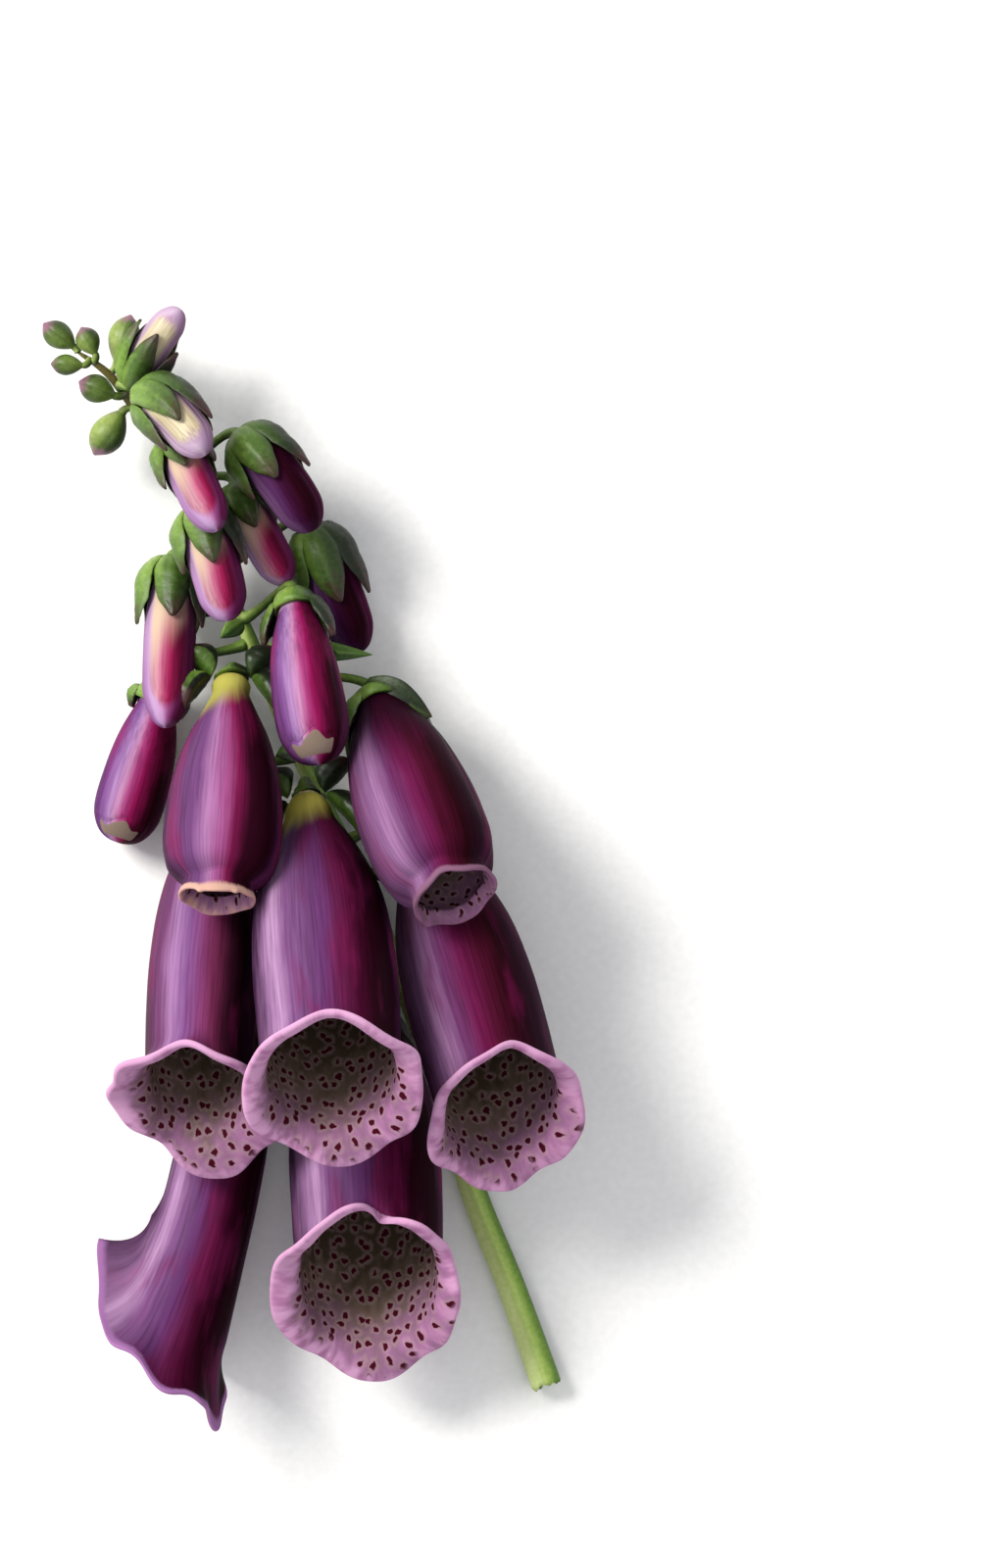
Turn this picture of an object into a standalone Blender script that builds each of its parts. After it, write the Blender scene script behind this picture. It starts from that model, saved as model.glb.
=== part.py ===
"""A cut foxglove flower spike, laid down on its back: one stem, seven open bells, ten buds in
colour, six young green buds at the tip and a few bracts.

World: +Y runs from the cut end of the stem to the tip of the spike, +Z points up from the surface
that the spike lies on. The stem lies low and the bells lean over it like roof tiles.
Lengths in this file are in millimetres and are turned into metres where meshes are made.
"""

import math
from collections import namedtuple

import bmesh
import bpy
import numpy as np

MM = 0.001

# ---- driving dimensions, mm ----
WALL = 0.8                # thickness of a corolla wall
SEPAL_THICKNESS = 0.7
SEPAL_GAP = 0.5           # clearance between a sepal and the corolla inside it
BUD_SEPAL_GAP = 0.85      # more, because the faces around a bud are fewer
SEAT_GAP = 0.35           # clearance where one piece stands on another
PEDICEL_RADIUS = 1.0
STEM_RADIUS_CUT = 2.0     # at the cut end
STEM_RADIUS_TIP = 0.6
BELL_SEGMENTS = 20
BUD_SEGMENTS = 12
BELL_CALYX_SEGMENTS = 15
BUD_CALYX_SEGMENTS = 10
PEDICEL_RINGS = 4
STEM_RINGS = 24
CENTRE_SHIFT = (-0.09, 0.11, 0.03)   # centres the box of the whole on x and y, and stands it on z = 0

# ---- colours, linear RGB ----
GREEN = (0.10, 0.20, 0.03)
PALE_GREEN = (0.25, 0.40, 0.06)
PURPLE = (0.22, 0.03, 0.16)
PINK = (0.45, 0.10, 0.28)
AUBERGINE = (0.06, 0.01, 0.05)
CREAM = (0.70, 0.60, 0.40)
BUD_COLOURS = {"bud_4": AUBERGINE, "bud_7": AUBERGINE, "bud_10": CREAM}   # the other buds are pink

# ---- the flowers ----
# path: base, middle and mouth of the corolla's axis; up: the side its upper lip is on;
# tube: widest radius; mouth: radius at the rim; lip: how much the lower lip outreaches the upper;
# root: where along +Y its pedicel leaves the stem; calyx: length of the sepals;
# flare: how far the sepal tips stand off the corolla
Flower = namedtuple("Flower", "name kind path up tube mouth lip root calyx flare")

BELLS = [
    Flower("bell_1", "bell", ((5, -16, 6.7), (7, -35, 8.6), (8, -56, 18)), (0, 0, 1),
           9.4, 11.6, 14, -13, 9, 0.7),
    Flower("bell_2", "trumpet", ((-10, -21.5, 6.8), (-13, -43, 6.5), (-18.5, -62.5, 12)), (-1, 0, 0.2),
           6.2, 10.9, 15.2, -4, 9, 0.6),
    Flower("bell_3", "bell", ((14.5, 5, 7.5), (21, -15, 16.5), (26, -33.5, 28)), (0.3, 0, 1),
           8.6, 10.0, 12, 3, 9, 1.2),
    Flower("bell_4", "bell", ((-0.5, 9.5, 12), (2, -11, 24.5), (3.5, -29.5, 37.5)), (0, 0, 1),
           9.3, 11.2, 11, 9, 8, 1.6),
    Flower("bell_5", "bell", ((-12, 10.5, 6.5), (-14, -12, 14.5), (-14.5, -32, 24)), (-0.2, 0, 1),
           7.2, 10.6, 10, 15, 9, 0.8),
    Flower("bell_6", "half", ((9, 22, 11.5), (14.5, 7, 23), (19.5, -4, 29)), (0, 0, 1),
           8.0, 5.4, 4, 24, 8, 0.4),
    Flower("bell_7", "half", ((-10.5, 25, 11), (-11, 9.5, 21.5), (-12, -5, 28)), (0, 0, 1),
           7.6, 4.6, 3, 26, 7, 1.8),
]

BUDS = [
    Flower("bud_1", "club", ((-20, 24, 6.6), (-23, 13, 5.2), (-26, 3, 4.8)), (0, 0, 1),
           4.6, 0, 0, 30, 7, 0.2),
    Flower("bud_2", "club", ((-2, 35.5, 14.4), (-0.3, 24, 20.2), (1.6, 13.5, 23.4)), (0, 0, 1),
           4.8, 0, 0, 33, 7, 0.4),
    Flower("bud_3", "bud", ((-18.5, 40, 7), (-18.8, 29, 11), (-19.2, 18.5, 15)), (0, 0, 1),
           3.5, 0, 0, 42, 9, 0.6),
    Flower("bud_4", "bud", ((0.5, 44.5, 6.5), (3.5, 36.5, 5.4), (6.5, 28.5, 4.6)), (0, 0, 1),
           3.5, 0, 0, 39.5, 9, 0.3),
    Flower("bud_5", "bud", ((-14.6, 46.3, 14.6), (-12.4, 39.5, 17.4), (-10.7, 32.5, 18.4)), (0, 0, 1),
           3.4, 0, 0, 47, 8, 0.3),
    Flower("bud_6", "bud", ((-9.5, 50, 9.9), (-6.3, 43.5, 11), (-3, 37.7, 10.3)), (0, 0, 1),
           2.8, 0, 0, 51, 6, 0.4),
    Flower("bud_7", "bud", ((-8.5, 56.5, 14.5), (-3.5, 51, 17), (0.5, 44.5, 17)), (0, 0, 1),
           3.4, 0, 0, 53, 8, 0.6),
    Flower("bud_8", "bud", ((-17.5, 55.7, 13.6), (-15, 50.6, 19.9), (-12, 44.5, 24)), (0, 0, 1),
           3.0, 0, 0, 57, 6.5, 0.4),
    Flower("bud_9", "bud", ((-21, 62.1, 17.4), (-18, 59.9, 21.9), (-13.5, 54.5, 25.8)), (0, 0, 1),
           3.0, 0, 0, 61, 7, 0.6),
    Flower("bud_10", "bud", ((-23.3, 65.2, 13), (-20.5, 69.7, 15.5), (-17, 74, 17)), (0, 0, 1),
           2.4, 0, 0, 64, 7, 0.6),
]

# young buds at the tip, still shut in their sepals: base and tip of each, and its radius
TIP_BUDS = {
    "tip_bud_1": ((-25.2, 60.6, 9.6), (-29, 55, 8.5), 2.3),
    "tip_bud_2": ((-26.2, 62.8, 11.9), (-30.8, 64.6, 13), 1.9),
    "tip_bud_3": ((-25.8, 67.4, 9.8), (-24, 73.7, 9.4), 2.1),
    "tip_bud_4": ((-28.7, 68.4, 11.9), (-30.5, 71.9, 12.4), 1.6),
    "tip_bud_5": ((-30.4, 66.8, 11.9), (-34.6, 67, 12.2), 1.4),
    "tip_bud_6": ((-31.6, 69.4, 11), (-35.6, 72.4, 12), 1.8),
}

# bracts: root on the stem, tip, and half width
BRACTS = {
    "bract_1": ((-1.9, 15.6, 5.4), (-4.6, 14.6, 9), 1.5),
    "bract_2": ((-9.2, 32.6, 7.4), (-12, 30.4, 11.2), 1.3),
    "bract_3": ((-6.1, 29.2, 5.6), (8.4, 28.2, 8.8), 1.6),
    "bract_4": ((-11.9, 35.6, 6.2), (-15.4, 33.4, 5), 1.2),
    "bract_5": ((8.0, -1.3, 2.2), (13.2, 0.4, 1.8), 1.6),
}

# stem: centre line from the cut end to the tip
STEM_PATH = ((31.5, -69.5, 2.0), (26.8, -56.5, 2.0), (22, -44.5, 2.0), (17.8, -30.5, 2.0),
             (12, -15, 2.0), (5, 1, 2.4), (-3.5, 19, 4.0), (-8.5, 31, 5.6), (-14.5, 44, 7.4),
             (-19.5, 56, 8.8), (-24, 62, 9.8), (-28, 66.6, 10.6), (-31, 68.6, 11))

# radius along a corolla, as fractions of its widest radius
PROFILES = {
    "bell": ((0, 0.08, 0.2, 0.38, 0.6, 0.8, 0.93), (0.32, 0.36, 0.52, 0.80, 0.98, 1.0, 1.03)),
    "trumpet": ((0, 0.08, 0.2, 0.38, 0.6, 0.8, 0.93), (0.42, 0.48, 0.70, 0.90, 1.0, 1.15, 1.50)),
    "half": ((0, 0.08, 0.25, 0.5, 0.72, 0.88, 0.96), (0.36, 0.42, 0.66, 0.90, 1.0, 0.90, 0.72)),
    "club": ((0, 0.1, 0.3, 0.6, 0.8, 0.93), (0.36, 0.48, 0.78, 1.0, 0.97, 0.76)),
    "bud": ((0, 0.1, 0.3, 0.55, 0.8, 0.94), (0.42, 0.62, 0.92, 1.0, 0.78, 0.42)),
}


class Axis:
    """A corolla's axis: a parabola through three points, straight beyond its ends, with the
    direction of the upper lip carried along it."""

    def __init__(self, path, up):
        base, middle, mouth = (np.array(p, float) for p in path)
        self.start = base
        self.linear = 4 * middle - 3 * base - mouth
        self.square = 2 * base + 2 * mouth - 4 * middle
        self.up = np.array(up, float)
        self.steps = np.linspace(0, 1, 65)
        points = self.curve(self.steps)
        runs = np.linalg.norm(np.diff(points, axis=0), axis=1)
        self.arcs = np.concatenate(([0], np.cumsum(runs)))
        self.length = self.arcs[-1]

    def curve(self, t):
        t = np.asarray(t)[..., None]
        return self.start + self.linear * t + self.square * t * t

    def frame(self, distance):
        """Centre, tangent, upper-lip direction and side direction at distances along the axis."""
        distance = np.asarray(distance, float)
        t = np.interp(distance, self.arcs, self.steps)
        inside = np.clip(distance, 0, self.length)
        tangent = self.linear + 2 * self.square * t[..., None]
        tangent /= np.linalg.norm(tangent, axis=-1, keepdims=True)
        centre = self.curve(t) + tangent * (distance - inside)[..., None]
        top = self.up - tangent * (tangent @ self.up)[..., None]
        top /= np.linalg.norm(top, axis=-1, keepdims=True)
        return centre, tangent, top, np.cross(tangent, top)

    def around(self, distance, radius, angle):
        """Points at an angle around the axis, measured from the upper lip."""
        centre, _, top, side = self.frame(distance)
        radius = np.asarray(radius)[..., None]
        angle = np.asarray(angle)[..., None]
        return centre + radius * (np.cos(angle) * top + np.sin(angle) * side)

    def beside(self, distance, height, side_offset):
        """Points off the axis towards the upper lip and to its side."""
        centre, _, top, side = self.frame(distance)
        return centre + np.asarray(height)[..., None] * top + np.asarray(side_offset)[..., None] * side


def angles(count):
    return np.arange(count) * 2 * math.pi / count


def five_lobes(angle):
    """1 at the middle of each of five lobes, one of them opposite the upper lip; 0 between them."""
    return 0.5 + 0.5 * np.cos(5 * (angle - math.pi))


def lower(angle):
    """0 at the upper lip and 1 at the lower lip."""
    return 0.5 - 0.5 * np.cos(angle)


def corolla_length(flower, axis):
    return axis.length - flower.lip / 2


def corolla_radius(flower, distance, axis):
    """Outer radius at a distance along the axis."""
    stations, radii = PROFILES[flower.kind]
    return np.interp(distance / corolla_length(flower, axis), stations, radii) * flower.tube


def grid_mesh(name, rings, first=None, last=None):
    """A closed body skinned through rings of points. An end closes on a point where one is given;
    with neither, the last ring joins the first, as in a tube with a wall."""
    count = len(rings[0])
    bm = bmesh.new()
    rows = [[bm.verts.new(point * MM) for point in ring] for ring in rings]
    if first is None:
        rows.append(rows[0])
    for row, following in zip(rows, rows[1:]):
        for i in range(count):
            j = (i + 1) % count
            bm.faces.new((row[i], row[j], following[j], following[i]))
    if first is not None:
        tips = ((rows[0], first), (rows[-1], last))
        for row, tip in tips:
            apex = bm.verts.new(np.array(tip) * MM)
            for i in range(count):
                bm.faces.new((row[i], row[(i + 1) % count], apex))
    bmesh.ops.recalc_face_normals(bm, faces=bm.faces)
    return finish(name, bm)


def finish(name, bm):
    """The object of a finished bmesh, shaded smooth, its origin at the middle of its box."""
    corners = np.array([vert.co for vert in bm.verts])
    middle = (corners.min(axis=0) + corners.max(axis=0)) / 2
    bmesh.ops.translate(bm, verts=bm.verts, vec=-middle)
    mesh = bpy.data.meshes.new(name)
    bm.to_mesh(mesh)
    bm.free()
    mesh.shade_smooth()
    body = bpy.data.objects.new(name, mesh)
    body.location = middle + np.array(CENTRE_SHIFT) * MM
    bpy.context.scene.collection.objects.link(body)
    return body


def paint(body, colour, roughness):
    """The body's own plain material."""
    material = bpy.data.materials.new(body.name + "_surface")
    material.use_nodes = True
    shader = material.node_tree.nodes["Principled BSDF"]
    shader.inputs["Base Color"].default_value = (*colour, 1)
    shader.inputs["Roughness"].default_value = roughness
    shader.inputs["Metallic"].default_value = 0
    body.data.materials.append(material)


# ---- corollas ----
RIM_LOBE = 1.6            # how far each lobe of the rim stands beyond the notches
RIM_FLARE = 0.5
RIM_LEAN = {"bell_2": 4.5}   # how far the rim's upper side stands beyond its lower side


def open_corolla(flower):
    """A bell or a half-open flower: a wall around the axis, open at the base for the ovary and at
    the mouth, with a longer lower lip and five shallow lobes."""
    axis = Axis(flower.path, flower.up)
    angle = angles(BELL_SEGMENTS)
    length = corolla_length(flower, axis)
    _, _, top, side = axis.frame(np.array(axis.length))
    height = np.cos(angle) * top[2] + np.sin(angle) * side[2]
    reach = (flower.lip * lower(angle) ** 1.2 + RIM_LOBE * five_lobes(angle)
             + RIM_LEAN.get(flower.name, 0) * height)
    mouth = flower.mouth + RIM_FLARE * five_lobes(angle)
    stations, radii = PROFILES[flower.kind]
    outer = []
    inner = []
    for station, fraction in zip(stations + (1,), radii + (None,)):
        distance = station * length + station ** 3 * reach
        radius = mouth if fraction is None else np.full(BELL_SEGMENTS, fraction * flower.tube)
        outer.append(axis.around(distance, radius, angle))
        inner.append(axis.around(distance, radius - WALL, angle))
    return grid_mesh(flower.name + "_corolla", outer + inner[::-1])


def shut_corolla(flower):
    """A bud: a solid club or spindle around the axis."""
    axis = Axis(flower.path, flower.up)
    angle = angles(BUD_SEGMENTS)
    stations, radii = PROFILES[flower.kind]
    rings = [axis.around(np.full(BUD_SEGMENTS, station * axis.length), fraction * flower.tube, angle)
             for station, fraction in zip(stations, radii)]
    ends = axis.frame([0, axis.length])[0]
    return grid_mesh(flower.name + "_corolla", rings, ends[0], ends[1])


# ---- calyces ----
CUP_DEPTH = 1.8           # how far the sepals are joined, beyond the base of the corolla
CALYX_FLOOR = -SEAT_GAP
RECEPTACLE = 1.2          # solid under the floor of the cup


def stem_point(along):
    """Centre of the stem where it passes a place along +Y."""
    points = np.array(STEM_PATH, float)
    return np.array([np.interp(along, points[:, 1], points[:, k]) for k in range(3)])


def stem_radius(along):
    return np.interp(along, (STEM_PATH[0][1], STEM_PATH[-1][1]), (STEM_RADIUS_CUT, STEM_RADIUS_TIP))


def pedicel_curve(root_along, end, tangent):
    """Centres and headings along a stalk from just off the stem's side to the base of its flower."""
    root = stem_point(root_along)
    away = np.array(end) - root
    direction = stem_point(root_along + 1) - stem_point(root_along - 1)
    direction /= np.linalg.norm(direction)
    away -= direction * (away @ direction)
    away /= np.linalg.norm(away)
    root = root + away * (stem_radius(root_along) + SEAT_GAP)
    span = np.linalg.norm(np.array(end) - root)
    near = root + away * span * 0.35
    far = np.array(end) - tangent * span * 0.25
    t = np.linspace(0, 1, PEDICEL_RINGS + 2)[:-1, None]
    route = (1 - t) ** 3 * root + 3 * (1 - t) ** 2 * t * near + 3 * (1 - t) * t ** 2 * far + t ** 3 * end
    heading = (1 - t) ** 2 * (near - root) + 2 * (1 - t) * t * (far - near) + t ** 2 * (end - far)
    return route, heading


def calyx(flower):
    """Flower stalk, receptacle and five sepals in one piece, cupped around the corolla's base."""
    axis = Axis(flower.path, flower.up)
    segments = BUD_CALYX_SEGMENTS if flower.mouth == 0 else BELL_CALYX_SEGMENTS
    angle = angles(segments)
    gap = BUD_SEPAL_GAP if flower.mouth == 0 else SEPAL_GAP
    base_radius = corolla_radius(flower, 0, axis) + gap + SEPAL_THICKNESS
    under = CALYX_FLOOR - RECEPTACLE
    foot, tangent, _, _ = axis.frame(np.array(under))
    route, headings = pedicel_curve(flower.root, foot, tangent)
    rings = [round_section(centre, heading, flower.up, PEDICEL_RADIUS, angle)
             for centre, heading in zip(route, headings)]
    rings.append(axis.around(np.full(segments, under), base_radius * 0.75, angle))
    reach = CUP_DEPTH + (flower.calyx - CUP_DEPTH) * five_lobes(angle) ** 0.8
    wall = []
    lining = []
    for station in (0, 0.45, 1):
        distance = CALYX_FLOOR + station * (reach - CALYX_FLOOR)
        lift = flower.flare * (distance / flower.calyx).clip(0) ** 2
        radius = corolla_radius(flower, distance.clip(0), axis) + gap + lift
        wall.append(axis.around(distance, radius + SEPAL_THICKNESS, angle))
        lining.append(axis.around(distance, radius, angle))
    floor = axis.frame(np.array(CALYX_FLOOR))[0]
    return grid_mesh(flower.name + "_calyx", rings + wall + lining[::-1], route[0], floor)


def round_section(centre, direction, up, radius, angle):
    """A circle of points around a centre, square to a direction, starting on the upper side."""
    direction = direction / np.linalg.norm(direction)
    top = np.array(up, float)
    top -= direction * (top @ direction)
    top /= np.linalg.norm(top)
    side = np.cross(direction, top)
    return np.array([centre + radius * (math.cos(a) * top + math.sin(a) * side) for a in angle])


# ---- what stands inside the open bells ----
FULL_TUBE = 9.6           # the tube radius that the sizes below belong to; they shrink with it
PISTIL_SEGMENTS = 6
PISTIL_STATIONS = (0.0, 0.06, 0.14, 0.22, 0.36, 0.52, 0.7, 0.86)   # fractions of the corolla's length
PISTIL_RADII = (0.95, 1.0, 0.8, 0.35, 0.3, 0.3, 0.3, 0.42)         # ovary, style and stigma
STYLE_HEIGHT = 0.60       # how near the upper lip the style runs, as a fraction of the tube's radius
STYLE_START = 0.11        # where the style leaves the middle, as a fraction of the corolla's length
STYLE_CLIMB = 0.4


def rise(fraction):
    """A smooth climb from 0 to 1."""
    fraction = np.clip(fraction, 0, 1)
    return fraction * fraction * (3 - 2 * fraction)


def pistil(flower):
    """Ovary, style and stigma: a cone on the receptacle that thins to a thread under the upper lip."""
    axis = Axis(flower.path, flower.up)
    stations = np.array(PISTIL_STATIONS)
    heights = STYLE_HEIGHT * flower.tube * rise((stations - STYLE_START) / STYLE_CLIMB)
    centres = axis.beside(stations * corolla_length(flower, axis), heights, 0 * heights)
    headings = np.gradient(centres, axis=0)
    angle = angles(PISTIL_SEGMENTS)
    scale = flower.tube / FULL_TUBE
    rings = [round_section(centre, heading, flower.up, radius * scale, angle)
             for centre, heading, radius in zip(centres, headings, PISTIL_RADII)]
    return grid_mesh(flower.name + "_pistil", rings, centres[0], centres[-1])


COLLAR_OUTER = 1.75       # ring that joins the four filaments around the ovary
COLLAR_INNER = 1.3
COLLAR_FOOT = 0.3         # where the ring starts and ends along the axis
COLLAR_TOP = 1.1
COLLAR_SEGMENTS = 8
# each filament: the face of the collar that it grows from, its reach as a fraction of the
# corolla's length, and where its anther lies above the axis and to its side, in tube radii
FILAMENTS = ((0, 0.74, 0.40, 0.14), (6, 0.74, 0.40, -0.14), (1, 0.60, 0.30, 0.40), (5, 0.60, 0.30, -0.40))
# steps along a filament: fraction of its reach and half width; the wide ones are the anther
FILAMENT_STEPS = ((0.2, 0.28), (0.5, 0.28), (0.8, 0.28), (0.86, 0.75), (0.97, 0.75), (1.0, 0.4))


def stamens(flower):
    """Four filaments with anthers, two long and two short, grown from a collar round the ovary:
    faces of the collar are extruded along each filament."""
    axis = Axis(flower.path, flower.up)
    scale = flower.tube / FULL_TUBE
    turn = angles(COLLAR_SEGMENTS) + math.pi / COLLAR_SEGMENTS
    bm = bmesh.new()
    rows = []
    for distance, radius in ((COLLAR_FOOT, COLLAR_INNER), (COLLAR_FOOT, COLLAR_OUTER),
                             (COLLAR_TOP, COLLAR_OUTER), (COLLAR_TOP, COLLAR_INNER)):
        points = axis.around(np.full(COLLAR_SEGMENTS, distance * scale), radius * scale, turn)
        rows.append([bm.verts.new(point * MM) for point in points])
    faces = []
    for row, following in zip(rows, rows[1:] + rows[:1]):
        for i in range(COLLAR_SEGMENTS):
            j = (i + 1) % COLLAR_SEGMENTS
            faces.append(bm.faces.new((row[i], row[j], following[j], following[i])))
    top_faces = faces[2 * COLLAR_SEGMENTS:3 * COLLAR_SEGMENTS]
    bmesh.ops.recalc_face_normals(bm, faces=bm.faces)
    for index, reach, height, side in FILAMENTS:
        grow_filament(bm, top_faces[index], axis, reach * corolla_length(flower, axis),
                      height * flower.tube, side * flower.tube, scale)
    return finish(flower.name + "_stamens", bm)


def grow_filament(bm, face, axis, reach, height, side, scale):
    """Extrudes one face of the collar step by step to the anther at the filament's end."""
    start = np.array(face.calc_center_median()) / MM
    centre, _, top, across = axis.frame(np.array(0.0))
    start_height = (start - centre) @ top
    start_side = (start - centre) @ across
    for fraction, half in FILAMENT_STEPS:
        mix = rise((fraction - 0.1) / 0.6)
        distance = np.array(fraction * reach)
        here = axis.beside(distance, start_height + (height - start_height) * mix,
                           start_side + (side - start_side) * mix)
        face = bmesh.ops.extrude_discrete_faces(bm, faces=[face])["faces"][0]
        set_square(face, here, axis.frame(distance), half * scale)


def set_square(face, centre, frame, half):
    """Moves a face's four corners to a square across the axis, each to the corner on its own side."""
    _, _, top, side = frame
    middle = np.array(face.calc_center_median()) / MM
    first, second = (np.array(vert.co) / MM - middle for vert in face.verts[:2])
    angle = math.atan2(first @ side, first @ top)
    turning = math.copysign(math.pi / 2, (second @ side) * (first @ top) - (second @ top) * (first @ side))
    for vert in face.verts:
        corner = centre + half * math.sqrt(2) * (math.cos(angle) * top + math.sin(angle) * side)
        vert.co = corner * MM
        angle += turning


# ---- stem, tip buds and bracts ----
def stem():
    """The cut stem: a bevelled curve through the centre line, thinning to the tip."""
    curve = bpy.data.curves.new("stem_line", "CURVE")
    curve.dimensions = "3D"
    curve.bevel_depth = STEM_RADIUS_CUT * MM
    curve.bevel_resolution = 3
    curve.use_fill_caps = True
    spline = curve.splines.new("POLY")
    places = np.linspace(STEM_PATH[0][1], STEM_PATH[-1][1], STEM_RINGS)
    spline.points.add(len(places) - 1)
    for point, along in zip(spline.points, places):
        point.co = (*((stem_point(along) + np.array(CENTRE_SHIFT)) * MM), 1)
        point.radius = stem_radius(along) / STEM_RADIUS_CUT
    body = bpy.data.objects.new("stem", curve)
    bpy.context.scene.collection.objects.link(body)
    return body


def tip_bud(name, base, tip, radius):
    """A young bud shut in its sepals: an egg with a short stalk at its base."""
    base = np.array(base, float)
    tip = np.array(tip, float)
    along = (tip - base) / np.linalg.norm(tip - base)
    angle = angles(BUD_SEGMENTS)
    rings = []
    for station, fraction in ((0, 0.3), (0.12, 0.34), (0.28, 0.86), (0.5, 1), (0.75, 0.74), (0.93, 0.3)):
        rings.append(round_section(base + station * (tip - base), along, (0, 0, 1), fraction * radius, angle))
    return grid_mesh(name, rings, base, tip)


def bract(name, root, tip, half_width):
    """A small pointed leaf: a creased outline with thickness."""
    root = np.array(root, float)
    tip = np.array(tip, float)
    across = np.cross(tip - root, (0.3, 0.2, 1))
    across /= np.linalg.norm(across)
    dip = np.cross(across, tip - root)
    dip /= np.linalg.norm(dip)
    bm = bmesh.new()
    rows = []
    for station in np.linspace(0, 1, 6):
        half = half_width * (math.sin(math.pi * station ** 0.7) + 0.12 * (1 - station))
        middle = root + station * (tip - root)
        rows.append([bm.verts.new(point * MM) for point in
                     (middle - half * across, middle - 0.25 * half * dip, middle + half * across)])
    for row, following in zip(rows, rows[1:]):
        for i in range(2):
            bm.faces.new((row[i], row[i + 1], following[i + 1], following[i]))
    bmesh.ops.recalc_face_normals(bm, faces=bm.faces)
    body = finish(name, bm)
    thick = body.modifiers.new("thickness", "SOLIDIFY")
    thick.thickness = 0.5 * MM
    thick.offset = 0
    return body


def main():
    for leftover in list(bpy.data.objects):
        bpy.data.objects.remove(leftover, do_unlink=True)
    paint(stem(), PALE_GREEN, 0.5)
    for flower in BELLS:
        paint(calyx(flower), GREEN, 0.55)
        paint(open_corolla(flower), PURPLE, 0.4)
        paint(pistil(flower), CREAM, 0.5)
        paint(stamens(flower), CREAM, 0.5)
    for flower in BUDS:
        paint(calyx(flower), GREEN, 0.55)
        paint(shut_corolla(flower), BUD_COLOURS.get(flower.name, PINK), 0.4)
    for name, (base, tip, radius) in TIP_BUDS.items():
        paint(tip_bud(name, base, tip, radius), GREEN, 0.55)
    for name, (root, tip, half_width) in BRACTS.items():
        paint(bract(name, root, tip, half_width), GREEN, 0.55)


main()
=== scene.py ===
# %% [markdown]
# # Foxglove flower spike
# The CAD model gives every flower its place and rough outline. This lesson grows a finer surface over
# each piece: bells with rolled, ruffled rims and spotted throats, buds with folded petals, veined sepals
# and a ridged stem. Lengths are in millimetres until a mesh is made.

from collections import namedtuple
from functools import partial
from math import cos, pi, radians, sin

import bpy
import numpy as np
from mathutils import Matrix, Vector


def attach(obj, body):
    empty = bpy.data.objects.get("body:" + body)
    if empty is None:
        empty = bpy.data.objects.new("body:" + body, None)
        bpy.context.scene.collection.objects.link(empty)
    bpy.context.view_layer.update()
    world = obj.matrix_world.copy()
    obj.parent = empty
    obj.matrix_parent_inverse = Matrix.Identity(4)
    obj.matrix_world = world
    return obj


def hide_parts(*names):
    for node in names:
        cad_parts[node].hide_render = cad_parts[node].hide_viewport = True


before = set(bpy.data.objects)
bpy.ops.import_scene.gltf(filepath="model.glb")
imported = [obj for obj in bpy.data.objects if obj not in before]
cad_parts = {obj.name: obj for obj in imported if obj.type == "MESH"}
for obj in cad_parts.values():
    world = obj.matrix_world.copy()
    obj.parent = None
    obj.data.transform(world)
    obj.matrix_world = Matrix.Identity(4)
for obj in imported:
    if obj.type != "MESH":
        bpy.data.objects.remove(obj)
MM = 0.001
CENTRE_SHIFT = np.array((-0.09, 0.11, 0.03))   # mm, from the design's frame to the model's
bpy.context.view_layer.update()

# %% [markdown]
# ## Helpers for shapes
# A petal tube is a function of two numbers: how far along its axis a point lies, and its angle around the
# axis. The axis is a parabola through three points, because a foxglove bell droops in one gentle bend.

# %% The bent axis of a flower
def unit(vectors):
    """Vectors divided by their lengths."""
    return vectors / np.linalg.norm(vectors, axis=-1, keepdims=True)


def square_to(heading, direction):
    """The part of a direction that is square to a heading, one long."""
    return unit(direction - heading * (heading @ direction)[..., None])


def turns(columns):
    """Angles of evenly spaced columns once round, in radians."""
    return np.arange(columns) * 2 * pi / columns


def off_centre(centre, top, side, radius, angle):
    """centre + radius (cos angle top + sin angle side)."""
    angle = np.asarray(angle)[..., None]
    return centre + np.asarray(radius)[..., None] * (np.cos(angle) * top + np.sin(angle) * side)


class Axis:
    """A parabola through three points, start + linear t + square t t, straight beyond its ends. The
    direction of the flower's upper lip goes along it, square to the tangent."""

    def __init__(self, path, up):
        base, middle, mouth = (np.array(p, float) for p in path)
        self.start = base
        self.linear = 4 * middle - 3 * base - mouth
        self.square = 2 * base + 2 * mouth - 4 * middle
        self.up = np.array(up, float)
        self.steps = np.linspace(0, 1, 257)
        runs = np.linalg.norm(np.diff(self.curve(self.steps), axis=0), axis=1)
        self.arcs = np.concatenate(([0], np.cumsum(runs)))
        self.length = self.arcs[-1]

    def curve(self, t):
        t = np.asarray(t)[..., None]
        return self.start + self.linear * t + self.square * t * t

    def frame(self, distance):
        """Centre, tangent, upper-lip direction and side direction at distances along the axis, mm."""
        distance = np.asarray(distance, float)
        t = np.interp(distance, self.arcs, self.steps)
        tangent = unit(self.linear + 2 * self.square * t[..., None])
        beyond = distance - np.clip(distance, 0, self.length)
        centre = self.curve(t) + tangent * beyond[..., None]
        top = square_to(tangent, self.up)
        return centre, tangent, top, np.cross(tangent, top)

    def around(self, distance, radius, angle):
        """Points around the axis; angle 0 is the upper lip, pi the lower."""
        centre, _, top, side = self.frame(distance)
        return off_centre(centre, top, side, radius, angle)


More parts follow.
